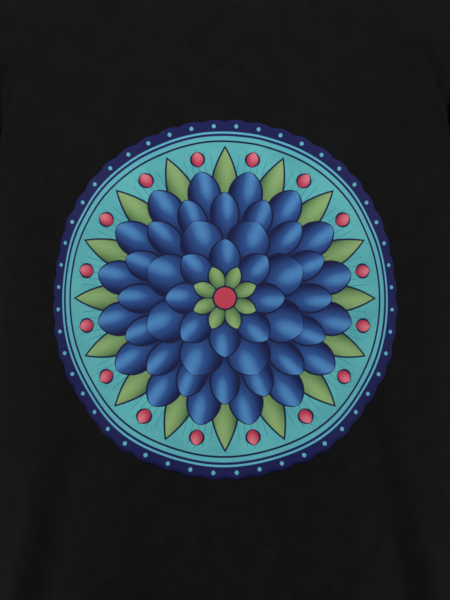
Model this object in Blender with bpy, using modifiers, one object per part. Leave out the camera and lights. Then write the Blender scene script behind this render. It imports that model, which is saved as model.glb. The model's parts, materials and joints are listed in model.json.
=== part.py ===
"""A short-sleeved crew-neck T-shirt in its worn shape, with a round print on the chest.

The cloth pieces are thin shells lofted between the seams: a front and a back panel, two sleeves,
a ribbed neckband, the tape inside the back neck, and the print as a thin film on the front panel.
Metres, +Z up. The wearer faces -Y. The origin is the middle of the neck base, level with the
high points of the two shoulder seams.
"""

import math
from dataclasses import dataclass

import bmesh
import bpy
from mathutils import Vector

# Driving dimensions
BODY_LENGTH = 0.72
ARMPIT_Z = -0.25
HALF_WIDTH = 0.203
CLOTH_THICKNESS = 0.001

# Gaps between the pieces at their seams, wider where two pieces meet at an angle
SIDE_SEAM_GAP = 0.0004
NECK_SEAM_GAP = 0.0004
SHOULDER_SEAM_GAP = 0.0013
ARMHOLE_SEAM_GAP = 0.0016

# Where the seams run
NECK_HALF_WIDTH = 0.088
NECK_SEAM_Y = 0.012
NECK_FRONT = Vector((0.0, -0.088, -0.098))
NECK_BACK = Vector((0.0, 0.066, -0.024))
NECK_ROUNDING = 1.6
SHOULDER_POINT = Vector((0.218, 0.008, -0.048))
SHOULDER_RISE = 0.004
ARMHOLE_INSET = 0.020
CENTRE_LINE_CURVE = 1.7

# Depth of the hanging body, front and back, and its half width, as (height, size) from the hem up
FRONT_DEPTHS = ((-0.72, 0.127), (-0.55, 0.126), (-0.40, 0.127), (-0.25, 0.128))
BACK_DEPTHS = ((-0.72, 0.123), (-0.50, 0.122), (-0.36, 0.120), (-0.25, 0.117))
HALF_WIDTHS = ((-0.72, 0.203), (-0.50, 0.196), (-0.34, 0.197), (-0.25, HALF_WIDTH))
RING_SQUARENESS = 2.3
COLUMN_CROWDING = 1.15

# The fullest place of the chest under the cloth
CHEST_X = 0.088
CHEST_Z = -0.285
CHEST_RISE = 0.008
CHEST_SPREAD_X = 0.050
CHEST_SPREAD_Z = 0.075

# Hanging folds, as (x where the fold starts, x gained per metre down, height out, half width)
FOLD_TOP_Z = -0.24
FOLD_FULL_DROP = 0.34
FRONT_FOLDS = (
    (0.000, 0.00, 0.012, 0.026),
    (0.045, 0.06, -0.003, 0.022),
    (0.076, 0.08, 0.007, 0.022),
    (0.120, 0.10, -0.009, 0.018),
    (0.146, 0.10, 0.005, 0.014),
)
BACK_FOLDS = (
    (0.040, 0.10, 0.006, 0.026),
    (0.092, 0.12, -0.009, 0.022),
    (0.132, 0.10, 0.005, 0.018),
)
FOLDS_END_AT = 0.78

# Sleeves, hanging away from the body
SLEEVE_FROM_VERTICAL = math.radians(50.0)
CUFF_CENTRE = Vector((0.338, 0.006, -0.231))
CUFF_HALF_HEIGHT = 0.070
CUFF_HALF_DEPTH = 0.046
CAP_BULGE = 0.012

# Neckband, and the tape inside the back neck
BAND_HEIGHT = 0.021
BAND_THICKNESS = 0.0016
BAND_LEAN = math.radians(25.0)
TAPE_HEIGHT = 0.011
TAPE_THICKNESS = 0.0007
TAPE_CLEARANCE = 0.0009

# Print, a round film that looks slightly taller than wide on the curved chest
PRINT_Z = -0.346
PRINT_HALF_WIDTH = 0.130
PRINT_HALF_HEIGHT = 0.1365
PRINT_THICKNESS = 0.0004
PRINT_CLEARANCE = 0.0003
PRINT_CUTTER_SIDES = 72
PRINT_CUTTER_DEPTH = 0.4
PRINT_MARGIN = 1.3

# Mesh steps: columns from the centre line to the side seam, rows below and above the armpit
COLUMNS = 16
LOWER_ROWS = 14
UPPER_ROWS = 14
FRONT_NECK_ROW = 6
BACK_NECK_ROW = 9
SLEEVE_ROWS = 8
BAND_ROWS = 2

BLACK_COTTON = (0.0085, 0.0085, 0.0088, 1.0)
BLACK_RIB = (0.0080, 0.0080, 0.0083, 1.0)
BLACK_TAPE = (0.0100, 0.0100, 0.0104, 1.0)
TEAL_INK = (0.10, 0.42, 0.44, 1.0)


@dataclass(frozen=True)
class PanelShape:
    """What tells the front panel from the back one. The sign is the panel's side along Y."""

    sign: float
    depths: tuple
    folds: tuple
    neck_bottom: Vector
    neck_row: int
    armhole_depth: float
    chest_rise: float


FRONT = PanelShape(-1.0, FRONT_DEPTHS, FRONT_FOLDS, NECK_FRONT, FRONT_NECK_ROW, 0.068, CHEST_RISE)
BACK = PanelShape(1.0, BACK_DEPTHS, BACK_FOLDS, NECK_BACK, BACK_NECK_ROW, 0.064, 0.0)


def clear_scene():
    for old in list(bpy.data.objects):
        bpy.data.objects.remove(old, do_unlink=True)


def new_collection(name):
    made = bpy.data.collections.new(name)
    bpy.context.scene.collection.children.link(made)
    return made


def material(name, colour, roughness):
    made = bpy.data.materials.new(name)
    made.use_nodes = True
    shader = made.node_tree.nodes["Principled BSDF"]
    shader.inputs["Base Color"].default_value = colour
    shader.inputs["Roughness"].default_value = roughness
    shader.inputs["Metallic"].default_value = 0.0
    made.diffuse_color = colour
    return made


def eased(share):
    """0 to 1, level at both ends."""
    share = min(1.0, max(0.0, share))
    return share * share * (3.0 - 2.0 * share)


def bump(distance, half_width):
    return math.exp(-((distance / half_width) ** 2))


def at_height(z, levels):
    """A size read smoothly between (height, size) levels, which run upwards."""
    if z <= levels[0][0]:
        return levels[0][1]
    for (low, first), (high, second) in zip(levels, levels[1:]):
        if z <= high:
            return first + (second - first) * eased((z - low) / (high - low))
    return levels[-1][1]


def fold_height(shape, u, x, z):
    """How far the hanging folds push the cloth out. They start below the chest and fade out
    before the side seam."""
    drop = FOLD_TOP_Z - z
    grown = eased(drop / FOLD_FULL_DROP) * (1.0 - eased((u - FOLDS_END_AT) / (1.0 - FOLDS_END_AT)))
    height = 0.0
    for start, slope, rise, half_width in shape.folds:
        height += rise * bump(x - start - slope * drop, half_width)
    return grown * height


def ring_point(shape, u, z):
    """A point of the hanging body. u runs from the centre line, 0, to the side seam, 1."""
    angle = 0.5 * math.pi * u**COLUMN_CROWDING
    power = 2.0 / RING_SQUARENESS
    half_width = at_height(z, HALF_WIDTHS)
    depth = at_height(z, shape.depths)
    x = half_width * math.sin(angle) ** power
    y = shape.sign * depth * max(0.0, math.cos(angle)) ** power
    outward = Vector((x / half_width**2, y / depth**2, 0.0)).normalized()
    return Vector((x, y, z)) + outward * fold_height(shape, u, x, z)


def neckline_point(shape, share):
    """The neck seam, from the centre line, 0, to the shoulder seam, 1."""
    angle = 0.5 * math.pi * share
    across = max(0.0, math.cos(angle))
    x = NECK_HALF_WIDTH * math.sin(angle)
    y = NECK_SEAM_Y + (shape.neck_bottom.y - NECK_SEAM_Y) * across
    return Vector((x, y, shape.neck_bottom.z * across**NECK_ROUNDING))


def centre_line_point(shape, share):
    """The centre line, from the armpit's height, 0, to the bottom of the neck seam, 1."""
    start = Vector((0.0, shape.sign * at_height(ARMPIT_Z, shape.depths), ARMPIT_Z))
    end = shape.neck_bottom
    y = start.y + (end.y - start.y) * share**CENTRE_LINE_CURVE
    return Vector((0.0, y, start.z + (end.z - start.z) * share))


def armhole_point(shape, share):
    """The armhole seam, from the armpit, 0, to the shoulder point, 1."""
    angle = math.pi * share
    middle_z = 0.5 * (ARMPIT_Z + SHOULDER_POINT.z)
    half_height = 0.5 * (SHOULDER_POINT.z - ARMPIT_Z)
    x = HALF_WIDTH + (SHOULDER_POINT.x - HALF_WIDTH) * share - ARMHOLE_INSET * math.sin(angle)
    y = SHOULDER_POINT.y * share + shape.sign * shape.armhole_depth * math.sin(angle)
    return Vector((x, y, middle_z - half_height * math.cos(angle)))


def shoulder_seam_point(u):
    """The shoulder seam, from the neck, 0, to the shoulder point, 1."""
    neck = Vector((NECK_HALF_WIDTH, NECK_SEAM_Y, 0.0))
    return neck.lerp(SHOULDER_POINT, u) + Vector((0.0, 0.0, SHOULDER_RISE * math.sin(math.pi * u)))


def inner_edge_point(shape, share):
    """The centre line and then the neck seam, from the armpit's height, 0, to the shoulder, 1."""
    neck_share = shape.neck_row / UPPER_ROWS
    if share <= neck_share:
        return centre_line_point(shape, share / neck_share)
    return neckline_point(shape, (share - neck_share) / (1.0 - neck_share))


def yoke_point(shape, u, share):
    """A point above the armpit's height, on the patch that its four edges span: the body's ring
    below, the shoulder seam above, the inner edge and the armhole."""
    between_sides = inner_edge_point(shape, share).lerp(armhole_point(shape, share), u)
    between_ends = ring_point(shape, u, ARMPIT_Z).lerp(shoulder_seam_point(u), share)
    low_corners = ring_point(shape, 0.0, ARMPIT_Z).lerp(ring_point(shape, 1.0, ARMPIT_Z), u)
    high_corners = shoulder_seam_point(0.0).lerp(shoulder_seam_point(1.0), u)
    return between_sides + between_ends - low_corners.lerp(high_corners, share)


def with_chest(shape, point):
    """The cloth lifted where it lies over the fullest place of the chest."""
    lift = shape.chest_rise * bump(point.x - CHEST_X, CHEST_SPREAD_X)
    lift *= bump(point.z - CHEST_Z, CHEST_SPREAD_Z)
    return point + Vector((0.0, shape.sign * lift, 0.0))


def drawn_back(point, towards, distance):
    return point + (towards - point).normalized() * distance


def half_panel_rows(shape):
    """Rows of points over one half of a panel, from the hem up to the shoulder seam. The seam
    edges are drawn back by half of each seam's gap."""
    heights = [-BODY_LENGTH + (BODY_LENGTH + ARMPIT_Z) * row / LOWER_ROWS for row in range(LOWER_ROWS)]
    steps = [column / COLUMNS for column in range(COLUMNS + 1)]
    rows = [[ring_point(shape, u, z) for u in steps] for z in heights]
    rows += [[yoke_point(shape, u, row / UPPER_ROWS) for u in steps] for row in range(UPPER_ROWS + 1)]
    rows = [[with_chest(shape, point) for point in row] for row in rows]
    neck_row = LOWER_ROWS + shape.neck_row
    for number, row in enumerate(rows):
        outer_gap = SIDE_SEAM_GAP if number < LOWER_ROWS else ARMHOLE_SEAM_GAP
        row[-1] = drawn_back(row[-1], row[-2], 0.5 * outer_gap)
        if number > neck_row:
            row[0] = drawn_back(row[0], row[1], 0.5 * NECK_SEAM_GAP)
    rows[neck_row][0] = drawn_back(rows[neck_row][0], rows[neck_row - 1][0], 0.5 * NECK_SEAM_GAP)
    half_gap = 0.5 * SHOULDER_SEAM_GAP
    rows[-1] = [drawn_back(top, under, half_gap) for top, under in zip(rows[-1], rows[-2])]
    return rows


def loft(name, rows, closed=False, flip=False):
    """Triangles between rows of points. A closed loft joins each row's ends."""
    made = bmesh.new()
    points = [[made.verts.new(point) for point in row] for row in rows]
    columns = len(rows[0])
    for low, high in zip(points, points[1:]):
        for column in range(columns if closed else columns - 1):
            after = (column + 1) % columns
            lower_half = (low[column], low[after], high[after])
            upper_half = (low[column], high[after], high[column])
            for corners in (lower_half, upper_half):
                made.faces.new(corners[::-1] if flip else corners)
    mesh = bpy.data.meshes.new(name)
    made.to_mesh(mesh)
    made.free()
    mesh.shade_smooth()
    return mesh


def add_piece(name, mesh, finish, collection):
    piece = bpy.data.objects.new(name, mesh)
    mesh.materials.append(finish)
    collection.objects.link(piece)
    return piece


def thicken(piece, thickness, offset):
    shell = piece.modifiers.new("Cloth thickness", "SOLIDIFY")
    shell.thickness = thickness
    shell.offset = offset
    shell.use_even_offset = True


def panel_surface(name, shape, collection):
    """A whole panel's outer surface, from a half that is open at the centre plane."""
    half_mesh = loft(name + "_half", half_panel_rows(shape), flip=shape is BACK)
    half = bpy.data.objects.new(name + "_half", half_mesh)
    collection.objects.link(half)
    mirror = half.modifiers.new("Other half", "MIRROR")
    mirror.merge_threshold = 0.00005
    graph = bpy.context.evaluated_depsgraph_get()
    surface = bpy.data.meshes.new_from_object(half.evaluated_get(graph))
    surface.name = name
    bpy.data.objects.remove(half, do_unlink=True)
    return surface


def build_panel(name, surface, finish, collection):
    panel = add_piece(name, surface, finish, collection)
    thicken(panel, CLOTH_THICKNESS, -1.0)


def cuff_point(angle):
    """The sleeve's opening: 0 under the arm, then by the front to a half turn at the top."""
    up = Vector((math.cos(SLEEVE_FROM_VERTICAL), 0.0, math.sin(SLEEVE_FROM_VERTICAL)))
    forward = Vector((0.0, -1.0, 0.0))
    low_to_high = up * -CUFF_HALF_HEIGHT * math.cos(angle)
    return CUFF_CENTRE + low_to_high + forward * CUFF_HALF_DEPTH * math.sin(angle)


def sleeve_rings():
    """Rings of points from the armhole to the opening of the wearer's left sleeve."""
    armhole = [armhole_point(FRONT, row / UPPER_ROWS) for row in range(UPPER_ROWS)]
    armhole += [armhole_point(BACK, 1.0 - row / UPPER_ROWS) for row in range(UPPER_ROWS)]
    upward = Vector((math.cos(SLEEVE_FROM_VERTICAL), 0.0, math.sin(SLEEVE_FROM_VERTICAL)))
    rings = []
    for row in range(SLEEVE_ROWS + 1):
        share = row / SLEEVE_ROWS
        ring = []
        for number, start in enumerate(armhole):
            angle = 2.0 * math.pi * number / len(armhole)
            towards_top = 0.5 - 0.5 * math.cos(angle)
            bulge = CAP_BULGE * math.sin(math.pi * share) * towards_top
            ring.append(start.lerp(cuff_point(angle), share) + upward * bulge)
        rings.append(ring)
    half_gap = 0.5 * ARMHOLE_SEAM_GAP
    rings[0] = [drawn_back(first, second, half_gap) for first, second in zip(rings[0], rings[1])]
    return rings


def build_sleeve(name, side, finish, collection):
    """side is 1 for the wearer's left sleeve and -1 for the right one."""
    rings = [[Vector((side * point.x, point.y, point.z)) for point in ring] for ring in sleeve_rings()]
    sleeve = add_piece(name, loft(name, rings, closed=True, flip=side > 0), finish, collection)
    thicken(sleeve, CLOTH_THICKNESS, -1.0)


def neck_seam():
    """The whole neck seam, from the front centre round by the wearer's left."""
    front_steps = UPPER_ROWS - FRONT_NECK_ROW
    back_steps = UPPER_ROWS - BACK_NECK_ROW
    left = [neckline_point(FRONT, step / front_steps) for step in range(front_steps)]
    left += [neckline_point(BACK, 1.0 - step / back_steps) for step in range(back_steps + 1)]
    right = [Vector((-point.x, point.y, point.z)) for point in left[-2:0:-1]]
    return left + right


def band_direction(point):
    """Which way the neckband stands at one point of the neck seam: up, and in to the neck."""
    middle_y = 0.5 * (NECK_FRONT.y + NECK_BACK.y)
    inward = Vector((-point.x, middle_y - point.y, 0.0)).normalized()
    return inward * math.sin(BAND_LEAN) + Vector((0.0, 0.0, math.cos(BAND_LEAN)))


def build_neckband(finish, collection):
    rows = []
    for row in range(BAND_ROWS + 1):
        height = 0.5 * NECK_SEAM_GAP + BAND_HEIGHT * row / BAND_ROWS
        rows.append([point + band_direction(point) * height for point in neck_seam()])
    band = add_piece("neckband", loft("neckband", rows, closed=True), finish, collection)
    thicken(band, BAND_THICKNESS, -1.0)


def back_outward(u, share):
    """The back panel's outward direction above the armpit's height."""
    step = 0.01
    across = yoke_point(BACK, u + step, share) - yoke_point(BACK, u, share)
    up = yoke_point(BACK, u, share + step) - yoke_point(BACK, u, share - step)
    return up.cross(across).normalized()


def build_neck_tape(finish, collection):
    """A strip inside the back panel, just under the neck seam, from near one shoulder seam to
    the other."""
    shares = [row / UPPER_ROWS for row in range(BACK_NECK_ROW, UPPER_ROWS)]
    panel_width = 0.5 * (HALF_WIDTH + SHOULDER_POINT.x) - NECK_HALF_WIDTH
    inside = CLOTH_THICKNESS + TAPE_CLEARANCE
    edges = []
    for distance in (TAPE_HEIGHT, 0.0):
        edge = []
        for share in shares:
            u = TAPE_CLEARANCE / panel_width + distance / panel_width
            edge.append(yoke_point(BACK, u, share) - back_outward(u, share) * inside)
        edge[0].x = 0.0
        other_half = [Vector((-point.x, point.y, point.z)) for point in edge[:0:-1]]
        edges.append(other_half + edge)
    tape = add_piece("neck_tape", loft("neck_tape", edges, flip=True), finish, collection)
    thicken(tape, TAPE_THICKNESS, -1.0)


def print_cutter(collection):
    bpy.ops.mesh.primitive_cylinder_add(
        vertices=PRINT_CUTTER_SIDES,
        radius=1.0,
        depth=PRINT_CUTTER_DEPTH,
        location=(0.0, -0.5 * PRINT_CUTTER_DEPTH, PRINT_Z),
        rotation=(0.5 * math.pi, 0.0, 0.0),
    )
    cutter = bpy.context.object
    cutter.name = "print_outline"
    cutter.scale = (PRINT_HALF_WIDTH, PRINT_HALF_HEIGHT, 1.0)
    cutter.hide_render = True
    cutter.display_type = "WIRE"
    for owner in list(cutter.users_collection):
        owner.objects.unlink(cutter)
    collection.objects.link(cutter)
    return cutter


def build_print(front_surface, finish, collection, cutters):
    """The print: the front panel's own surface, lifted clear of it and cut round."""
    film_mesh = front_surface.copy()
    film_mesh.name = "chest_print"
    made = bmesh.new()
    made.from_mesh(film_mesh)
    for vertex in made.verts:
        vertex.co += vertex.normal * PRINT_CLEARANCE
    reach_x = PRINT_MARGIN * PRINT_HALF_WIDTH
    reach_z = PRINT_MARGIN * PRINT_HALF_HEIGHT
    outside = []
    for face in made.faces:
        middle = face.calc_center_median()
        if abs(middle.x) > reach_x or abs(middle.z - PRINT_Z) > reach_z:
            outside.append(face)
    bmesh.ops.delete(made, geom=outside, context="FACES")
    made.to_mesh(film_mesh)
    made.free()
    film = add_piece("chest_print", film_mesh, finish, collection)
    thicken(film, PRINT_THICKNESS, 1.0)
    trim = film.modifiers.new("Round outline", "BOOLEAN")
    trim.operation = "INTERSECT"
    trim.object = print_cutter(cutters)


def main():
    clear_scene()
    shirt = new_collection("t_shirt")
    cutters = new_collection("cutters")
    jersey = material("black cotton jersey", BLACK_COTTON, 0.9)
    rib = material("black cotton rib", BLACK_RIB, 0.9)
    tape = material("black cotton tape", BLACK_TAPE, 0.85)
    ink = material("print film", TEAL_INK, 0.6)
    front_surface = panel_surface("front_panel", FRONT, shirt)
    back_surface = panel_surface("back_panel", BACK, shirt)
    build_print(front_surface, ink, shirt, cutters)
    build_panel("front_panel", front_surface, jersey, shirt)
    build_panel("back_panel", back_surface, jersey, shirt)
    build_sleeve("sleeve_left", 1.0, jersey, shirt)
    build_sleeve("sleeve_right", -1.0, jersey, shirt)
    build_neckband(rib, shirt)
    build_neck_tape(tape, shirt)


main()
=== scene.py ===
"""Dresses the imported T-shirt: hangs its cloth on a torso form, then sews, bands and prints it.

While it hangs, the cloth is one welded sheet. It is then split at the seams, so that each piece
takes the place of the CAD node it stands for. Threads, neckband, tape, seam allowances and print
are laid out on the flat pattern and carried to where the cloth hangs.
Metres, +Z up, the wearer faces -Y, the origin is the middle of the neck base.
"""

import json
import logging
import math
from dataclasses import dataclass, field
from enum import Enum

import bmesh
import bpy
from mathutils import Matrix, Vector, interpolate, noise
from mathutils.bvhtree import BVHTree
from mathutils.kdtree import KDTree

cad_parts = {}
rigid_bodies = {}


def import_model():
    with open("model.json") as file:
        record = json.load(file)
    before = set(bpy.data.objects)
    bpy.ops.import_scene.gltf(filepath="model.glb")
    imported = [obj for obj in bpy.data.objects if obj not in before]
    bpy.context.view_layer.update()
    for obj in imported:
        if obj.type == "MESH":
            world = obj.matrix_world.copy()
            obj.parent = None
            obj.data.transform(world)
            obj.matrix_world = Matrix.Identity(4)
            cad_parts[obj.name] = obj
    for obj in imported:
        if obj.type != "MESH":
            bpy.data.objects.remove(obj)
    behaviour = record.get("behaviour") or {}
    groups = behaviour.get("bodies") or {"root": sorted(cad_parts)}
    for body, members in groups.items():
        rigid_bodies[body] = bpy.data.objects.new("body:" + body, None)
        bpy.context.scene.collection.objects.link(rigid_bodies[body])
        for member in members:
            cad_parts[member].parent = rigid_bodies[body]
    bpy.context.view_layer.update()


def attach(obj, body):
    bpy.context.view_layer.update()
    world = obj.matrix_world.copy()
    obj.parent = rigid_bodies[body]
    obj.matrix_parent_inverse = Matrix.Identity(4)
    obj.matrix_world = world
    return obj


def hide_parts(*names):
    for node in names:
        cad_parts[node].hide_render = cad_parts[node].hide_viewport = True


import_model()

log = logging.getLogger("shirt")

PATTERN = "pattern"
DESIGN = "design"
BODY = "root"
WELD_DISTANCE = 0.0002
EDGE_STEP = 0.002
KNIT_COLUMN = 0.00075
KNIT_ROW = 0.00062
SEAM_LENGTHS = {"neck": 0.30, "side": 0.47, "armhole": 0.24, "shoulder": 0.14, "underarm": 0.11}
Place = tuple[float, float]
Point = tuple[float, float, float]


class Face(Enum):
    """The side of the body a panel covers, with its sign along Y."""

    FRONT = -1
    BACK = 1


class Arm(Enum):
    """The wearer's arms, with their sign along X."""

    LEFT = 1
    RIGHT = -1


def eased(share: float) -> float:
    """Runs from 0 to 1 and is level at both ends."""
    share = min(1.0, max(0.0, share))
    return share * share * (3.0 - 2.0 * share)


def bell(distance: float, spread: float) -> float:
    """A smooth hump: 1 at no distance, and near 0 from twice the spread on."""
    return math.exp(-((distance / spread) ** 2))


def lengths_along(points: list[Vector]) -> list[float]:
    """How far each point is along the line that they make.

    Args:
        points: the line's points.

    Returns:
        The distances, from 0.
    """
    along = [0.0]
    for start, end in zip(points, points[1:]):
        along.append(along[-1] + (end - start).length)
    return along


def cut_evenly(along: list[float], count: int) -> list[tuple[int, float]]:
    """Cuts a line into equal steps.

    Args:
        along: how far each of its points is along it.
        count: how many steps there are.

    Returns:
        For each cut, the point before it and the share of the way to the next point.
    """
    cuts = []
    k = 0
    for number in range(count + 1):
        wanted = along[-1] * number / count
        while k < len(along) - 2 and along[k + 1] < wanted:
            k += 1
        share = (wanted - along[k]) / max(1e-9, along[k + 1] - along[k])
        cuts.append((k, min(1.0, share)))
    return cuts


# Shapes that the cloth starts from.


@dataclass(frozen=True)
class Levels:
    """A size that changes smoothly with height, as (height, size) steps that run upwards."""

    steps: tuple[Place, ...]

    def at(self, z: float) -> float:
        """The size at one height.

        Args:
            z: the height.

        Returns:
            The size there.
        """
        if z <= self.steps[0][0]:
            return self.steps[0][1]
        for (low, first), (high, second) in zip(self.steps, self.steps[1:]):
            if z <= high:
                return first + (second - first) * eased((z - low) / (high - low))
        return self.steps[-1][1]


@dataclass(frozen=True)
class Fold:
    """A hanging fold: where it starts, how it runs outwards, how far it stands out, its spread."""

    start: float
    slope: float
    rise: float
    spread: float

    def height(self, x: float, drop: float) -> float:
        """How far the cloth stands out at x, some way down the fold."""
        return self.rise * bell(x - self.start - self.slope * drop, self.spread)


@dataclass(frozen=True)
class PanelForm:
    """One panel's own sizes: depths from the side plane, neckline, armhole, chest and folds."""

    face: Face
    depths: Levels
    neck_bottom: Place
    neck_row: int
    armhole_depth: float
    chest_lift: float = 0.0
    folds: tuple[Fold, ...] = ()
    settled_folds: tuple[Fold, ...] = ()


@dataclass(frozen=True)
class ShirtForm:
    """The hollow shape of a shirt or of the torso in it, as rows of points from the hem up."""

    front: PanelForm
    back: PanelForm
    widths: Levels
    shoulder_point: Point
    neck_half_width: float
    neck_height: float
    armhole_inset: float
    squareness: float
    hem_z: float
    lower_rows: int
    upper_rows: int
    armpit_z: float = -0.25
    neck_seam_y: float = 0.012
    shoulder_rise: float = 0.004
    neck_rounding: float = 1.6
    centre_line_curve: float = 1.7
    chest_centre: Place = (0.088, -0.285)
    chest_spread: Place = (0.050, 0.065)
    folds_top_z: float = -0.34
    folds_full_drop: float = 0.30
    folds_end: float = 0.85
    settled_full_drop: float = 0.87
    settled_side_fade: float = 0.5

    def ring(self, panel: PanelForm, u: float, z: float) -> Vector:
        """A point of the body's ring at one height.

        Args:
            panel: the front or the back.
            u: the place from the centre line, 0, to the side, 1.
            z: the height.

        Returns:
            The point.
        """
        angle = 0.5 * math.pi * u
        power = 2.0 / self.squareness
        width = self.widths.at(z)
        depth = panel.depths.at(z)
        x = width * math.sin(angle) ** power
        y = panel.face.value * depth * max(0.0, math.cos(angle)) ** power
        outward = Vector((x / width**2, y / depth**2, 0.0)).normalized()
        drop = self.folds_top_z - z
        grown = eased(drop / self.folds_full_drop)
        grown *= 1.0 - eased((u - self.folds_end) / (1.0 - self.folds_end))
        return Vector((x, y, z)) + outward * grown * sum(fold.height(x, drop) for fold in panel.folds)

    def deepened(self, point: Vector) -> Vector:
        """A point of the settled cloth with its hanging folds drawn deeper.

        Args:
            point: where the cloth settled.

        Returns:
            The moved point.
        """
        panel = self.front if point.y < 0.0 else self.back
        drop = self.folds_top_z - point.z
        if drop <= 0.0 or not panel.settled_folds:
            return point
        width = self.widths.at(point.z)
        depth = panel.depths.at(point.z)
        outward = Vector((point.x / width**2, point.y / depth**2, 0.0)).normalized()
        grown = eased(drop / (self.settled_full_drop * self.folds_full_drop))
        grown *= eased(abs(outward.y) / self.settled_side_fade)
        height = sum(fold.height(abs(point.x), drop) for fold in panel.settled_folds)
        return point + outward * grown * height

    def neckline(self, panel: PanelForm, share: float) -> Vector:
        """A point of the neck seam, from the centre line, 0, to the shoulder seam, 1.

        Args:
            panel: the front or the back.
            share: how far along it the point is, from 0 to 1.

        Returns:
            The point.
        """
        angle = 0.5 * math.pi * share
        across = max(0.0, math.cos(angle))
        bottom_y, bottom_z = panel.neck_bottom
        y = self.neck_seam_y + (bottom_y - self.neck_seam_y) * across
        sunk = across**self.neck_rounding
        z = bottom_z * sunk + self.neck_height * (1.0 - sunk)
        return Vector((self.neck_half_width * math.sin(angle), y, z))

    def centre_line(self, panel: PanelForm, share: float) -> Vector:
        """A point of the centre line, from the armpit's height, 0, to the neck seam, 1.

        Args:
            panel: the front or the back.
            share: how far along it the point is, from 0 to 1.

        Returns:
            The point.
        """
        start_y = panel.face.value * panel.depths.at(self.armpit_z)
        end_y, end_z = panel.neck_bottom
        y = start_y + (end_y - start_y) * share**self.centre_line_curve
        return Vector((0.0, y, self.armpit_z + (end_z - self.armpit_z) * share))

    def armhole(self, panel: PanelForm, share: float) -> Vector:
        """A point of the armhole seam, from the armpit, 0, to the shoulder point, 1.

        Args:
            panel: the front or the back.
            share: how far along it the point is, from 0 to 1.

        Returns:
            The point.
        """
        angle = math.pi * share
        top_x, top_y, top_z = self.shoulder_point
        width = self.widths.at(self.armpit_z)
        half_height = 0.5 * (top_z - self.armpit_z)
        x = width + (top_x - width) * share - self.armhole_inset * math.sin(angle)
        y = top_y * share + panel.face.value * panel.armhole_depth * math.sin(angle)
        return Vector((x, y, self.armpit_z + half_height * (1.0 - math.cos(angle))))

    def shoulder_seam(self, u: float) -> Vector:
        """A point of the shoulder seam, from the neck, 0, to the shoulder point, 1.

        Args:
            u: how far along it the point is, from 0 to 1.

        Returns:
            The point.
        """
        neck = Vector((self.neck_half_width, self.neck_seam_y, self.neck_height))
        rise = Vector((0.0, 0.0, self.shoulder_rise * math.sin(math.pi * u)))
        return neck.lerp(Vector(self.shoulder_point), u) + rise

    def yoke(self, panel: PanelForm, u: float, share: float) -> Vector:
        """A point above the armpit's height, on the patch that its four edges span.

        Args:
            panel: the front or the back.
            u: the place from the inner edge, 0, to the armhole, 1.
            share: the place from the armpit's height, 0, to the shoulder seam, 1.

        Returns:
            The point.
        """
        neck_share = panel.neck_row / self.upper_rows
        if share <= neck_share:
            inner = self.centre_line(panel, share / neck_share)
        else:
            inner = self.neckline(panel, (share - neck_share) / (1.0 - neck_share))
        between_sides = inner.lerp(self.armhole(panel, share), u)
        ring_start = self.ring(panel, 0.0, self.armpit_z)
        ring_end = self.ring(panel, 1.0, self.armpit_z)
        between_ends = self.ring(panel, u, self.armpit_z).lerp(self.shoulder_seam(u), share)
        high = self.shoulder_seam(0.0).lerp(self.shoulder_seam(1.0), u)
        return between_sides + between_ends - ring_start.lerp(ring_end, u).lerp(high, share)

    def even_steps(self, columns: int) -> list[float]:
        """Steps from the centre line to the side that cut the armpit's ring into equal lengths.

        Args:
            columns: how many lengths there are.

        Returns:
            The steps, from 0 to 1.
        """
        fine = 400
        ring = [self.ring(self.front, k / fine, self.armpit_z) for k in range(fine + 1)]
        cuts = cut_evenly(lengths_along(ring), columns)
        return [(k + share) / fine for k, share in cuts[:-1]] + [1.0]

    def half_rows(self, panel: PanelForm, steps: list[float]) -> list[list[Vector]]:
        """Rows of points over one half of a panel, from the hem to the shoulder seam.

        Args:
            panel: the front or the back.
            steps: the places of the columns, from the centre line, 0, to the side, 1.

        Returns:
            The rows, each from the centre line or neckline out to the side.
        """
        climb = self.armpit_z - self.hem_z
        heights = [self.hem_z + climb * row / self.lower_rows for row in range(self.lower_rows)]
        rows = [[self.ring(panel, u, z) for u in steps] for z in heights]
        for row in range(self.upper_rows + 1):
            rows.append([self.yoke(panel, u, row / self.upper_rows) for u in steps])
        for row in rows:
            for point in row:
                lift = bell(point.x - self.chest_centre[0], self.chest_spread[0])
                lift *= bell(point.z - self.chest_centre[1], self.chest_spread[1])
                point.y += panel.face.value * panel.chest_lift * lift
        return rows


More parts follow.
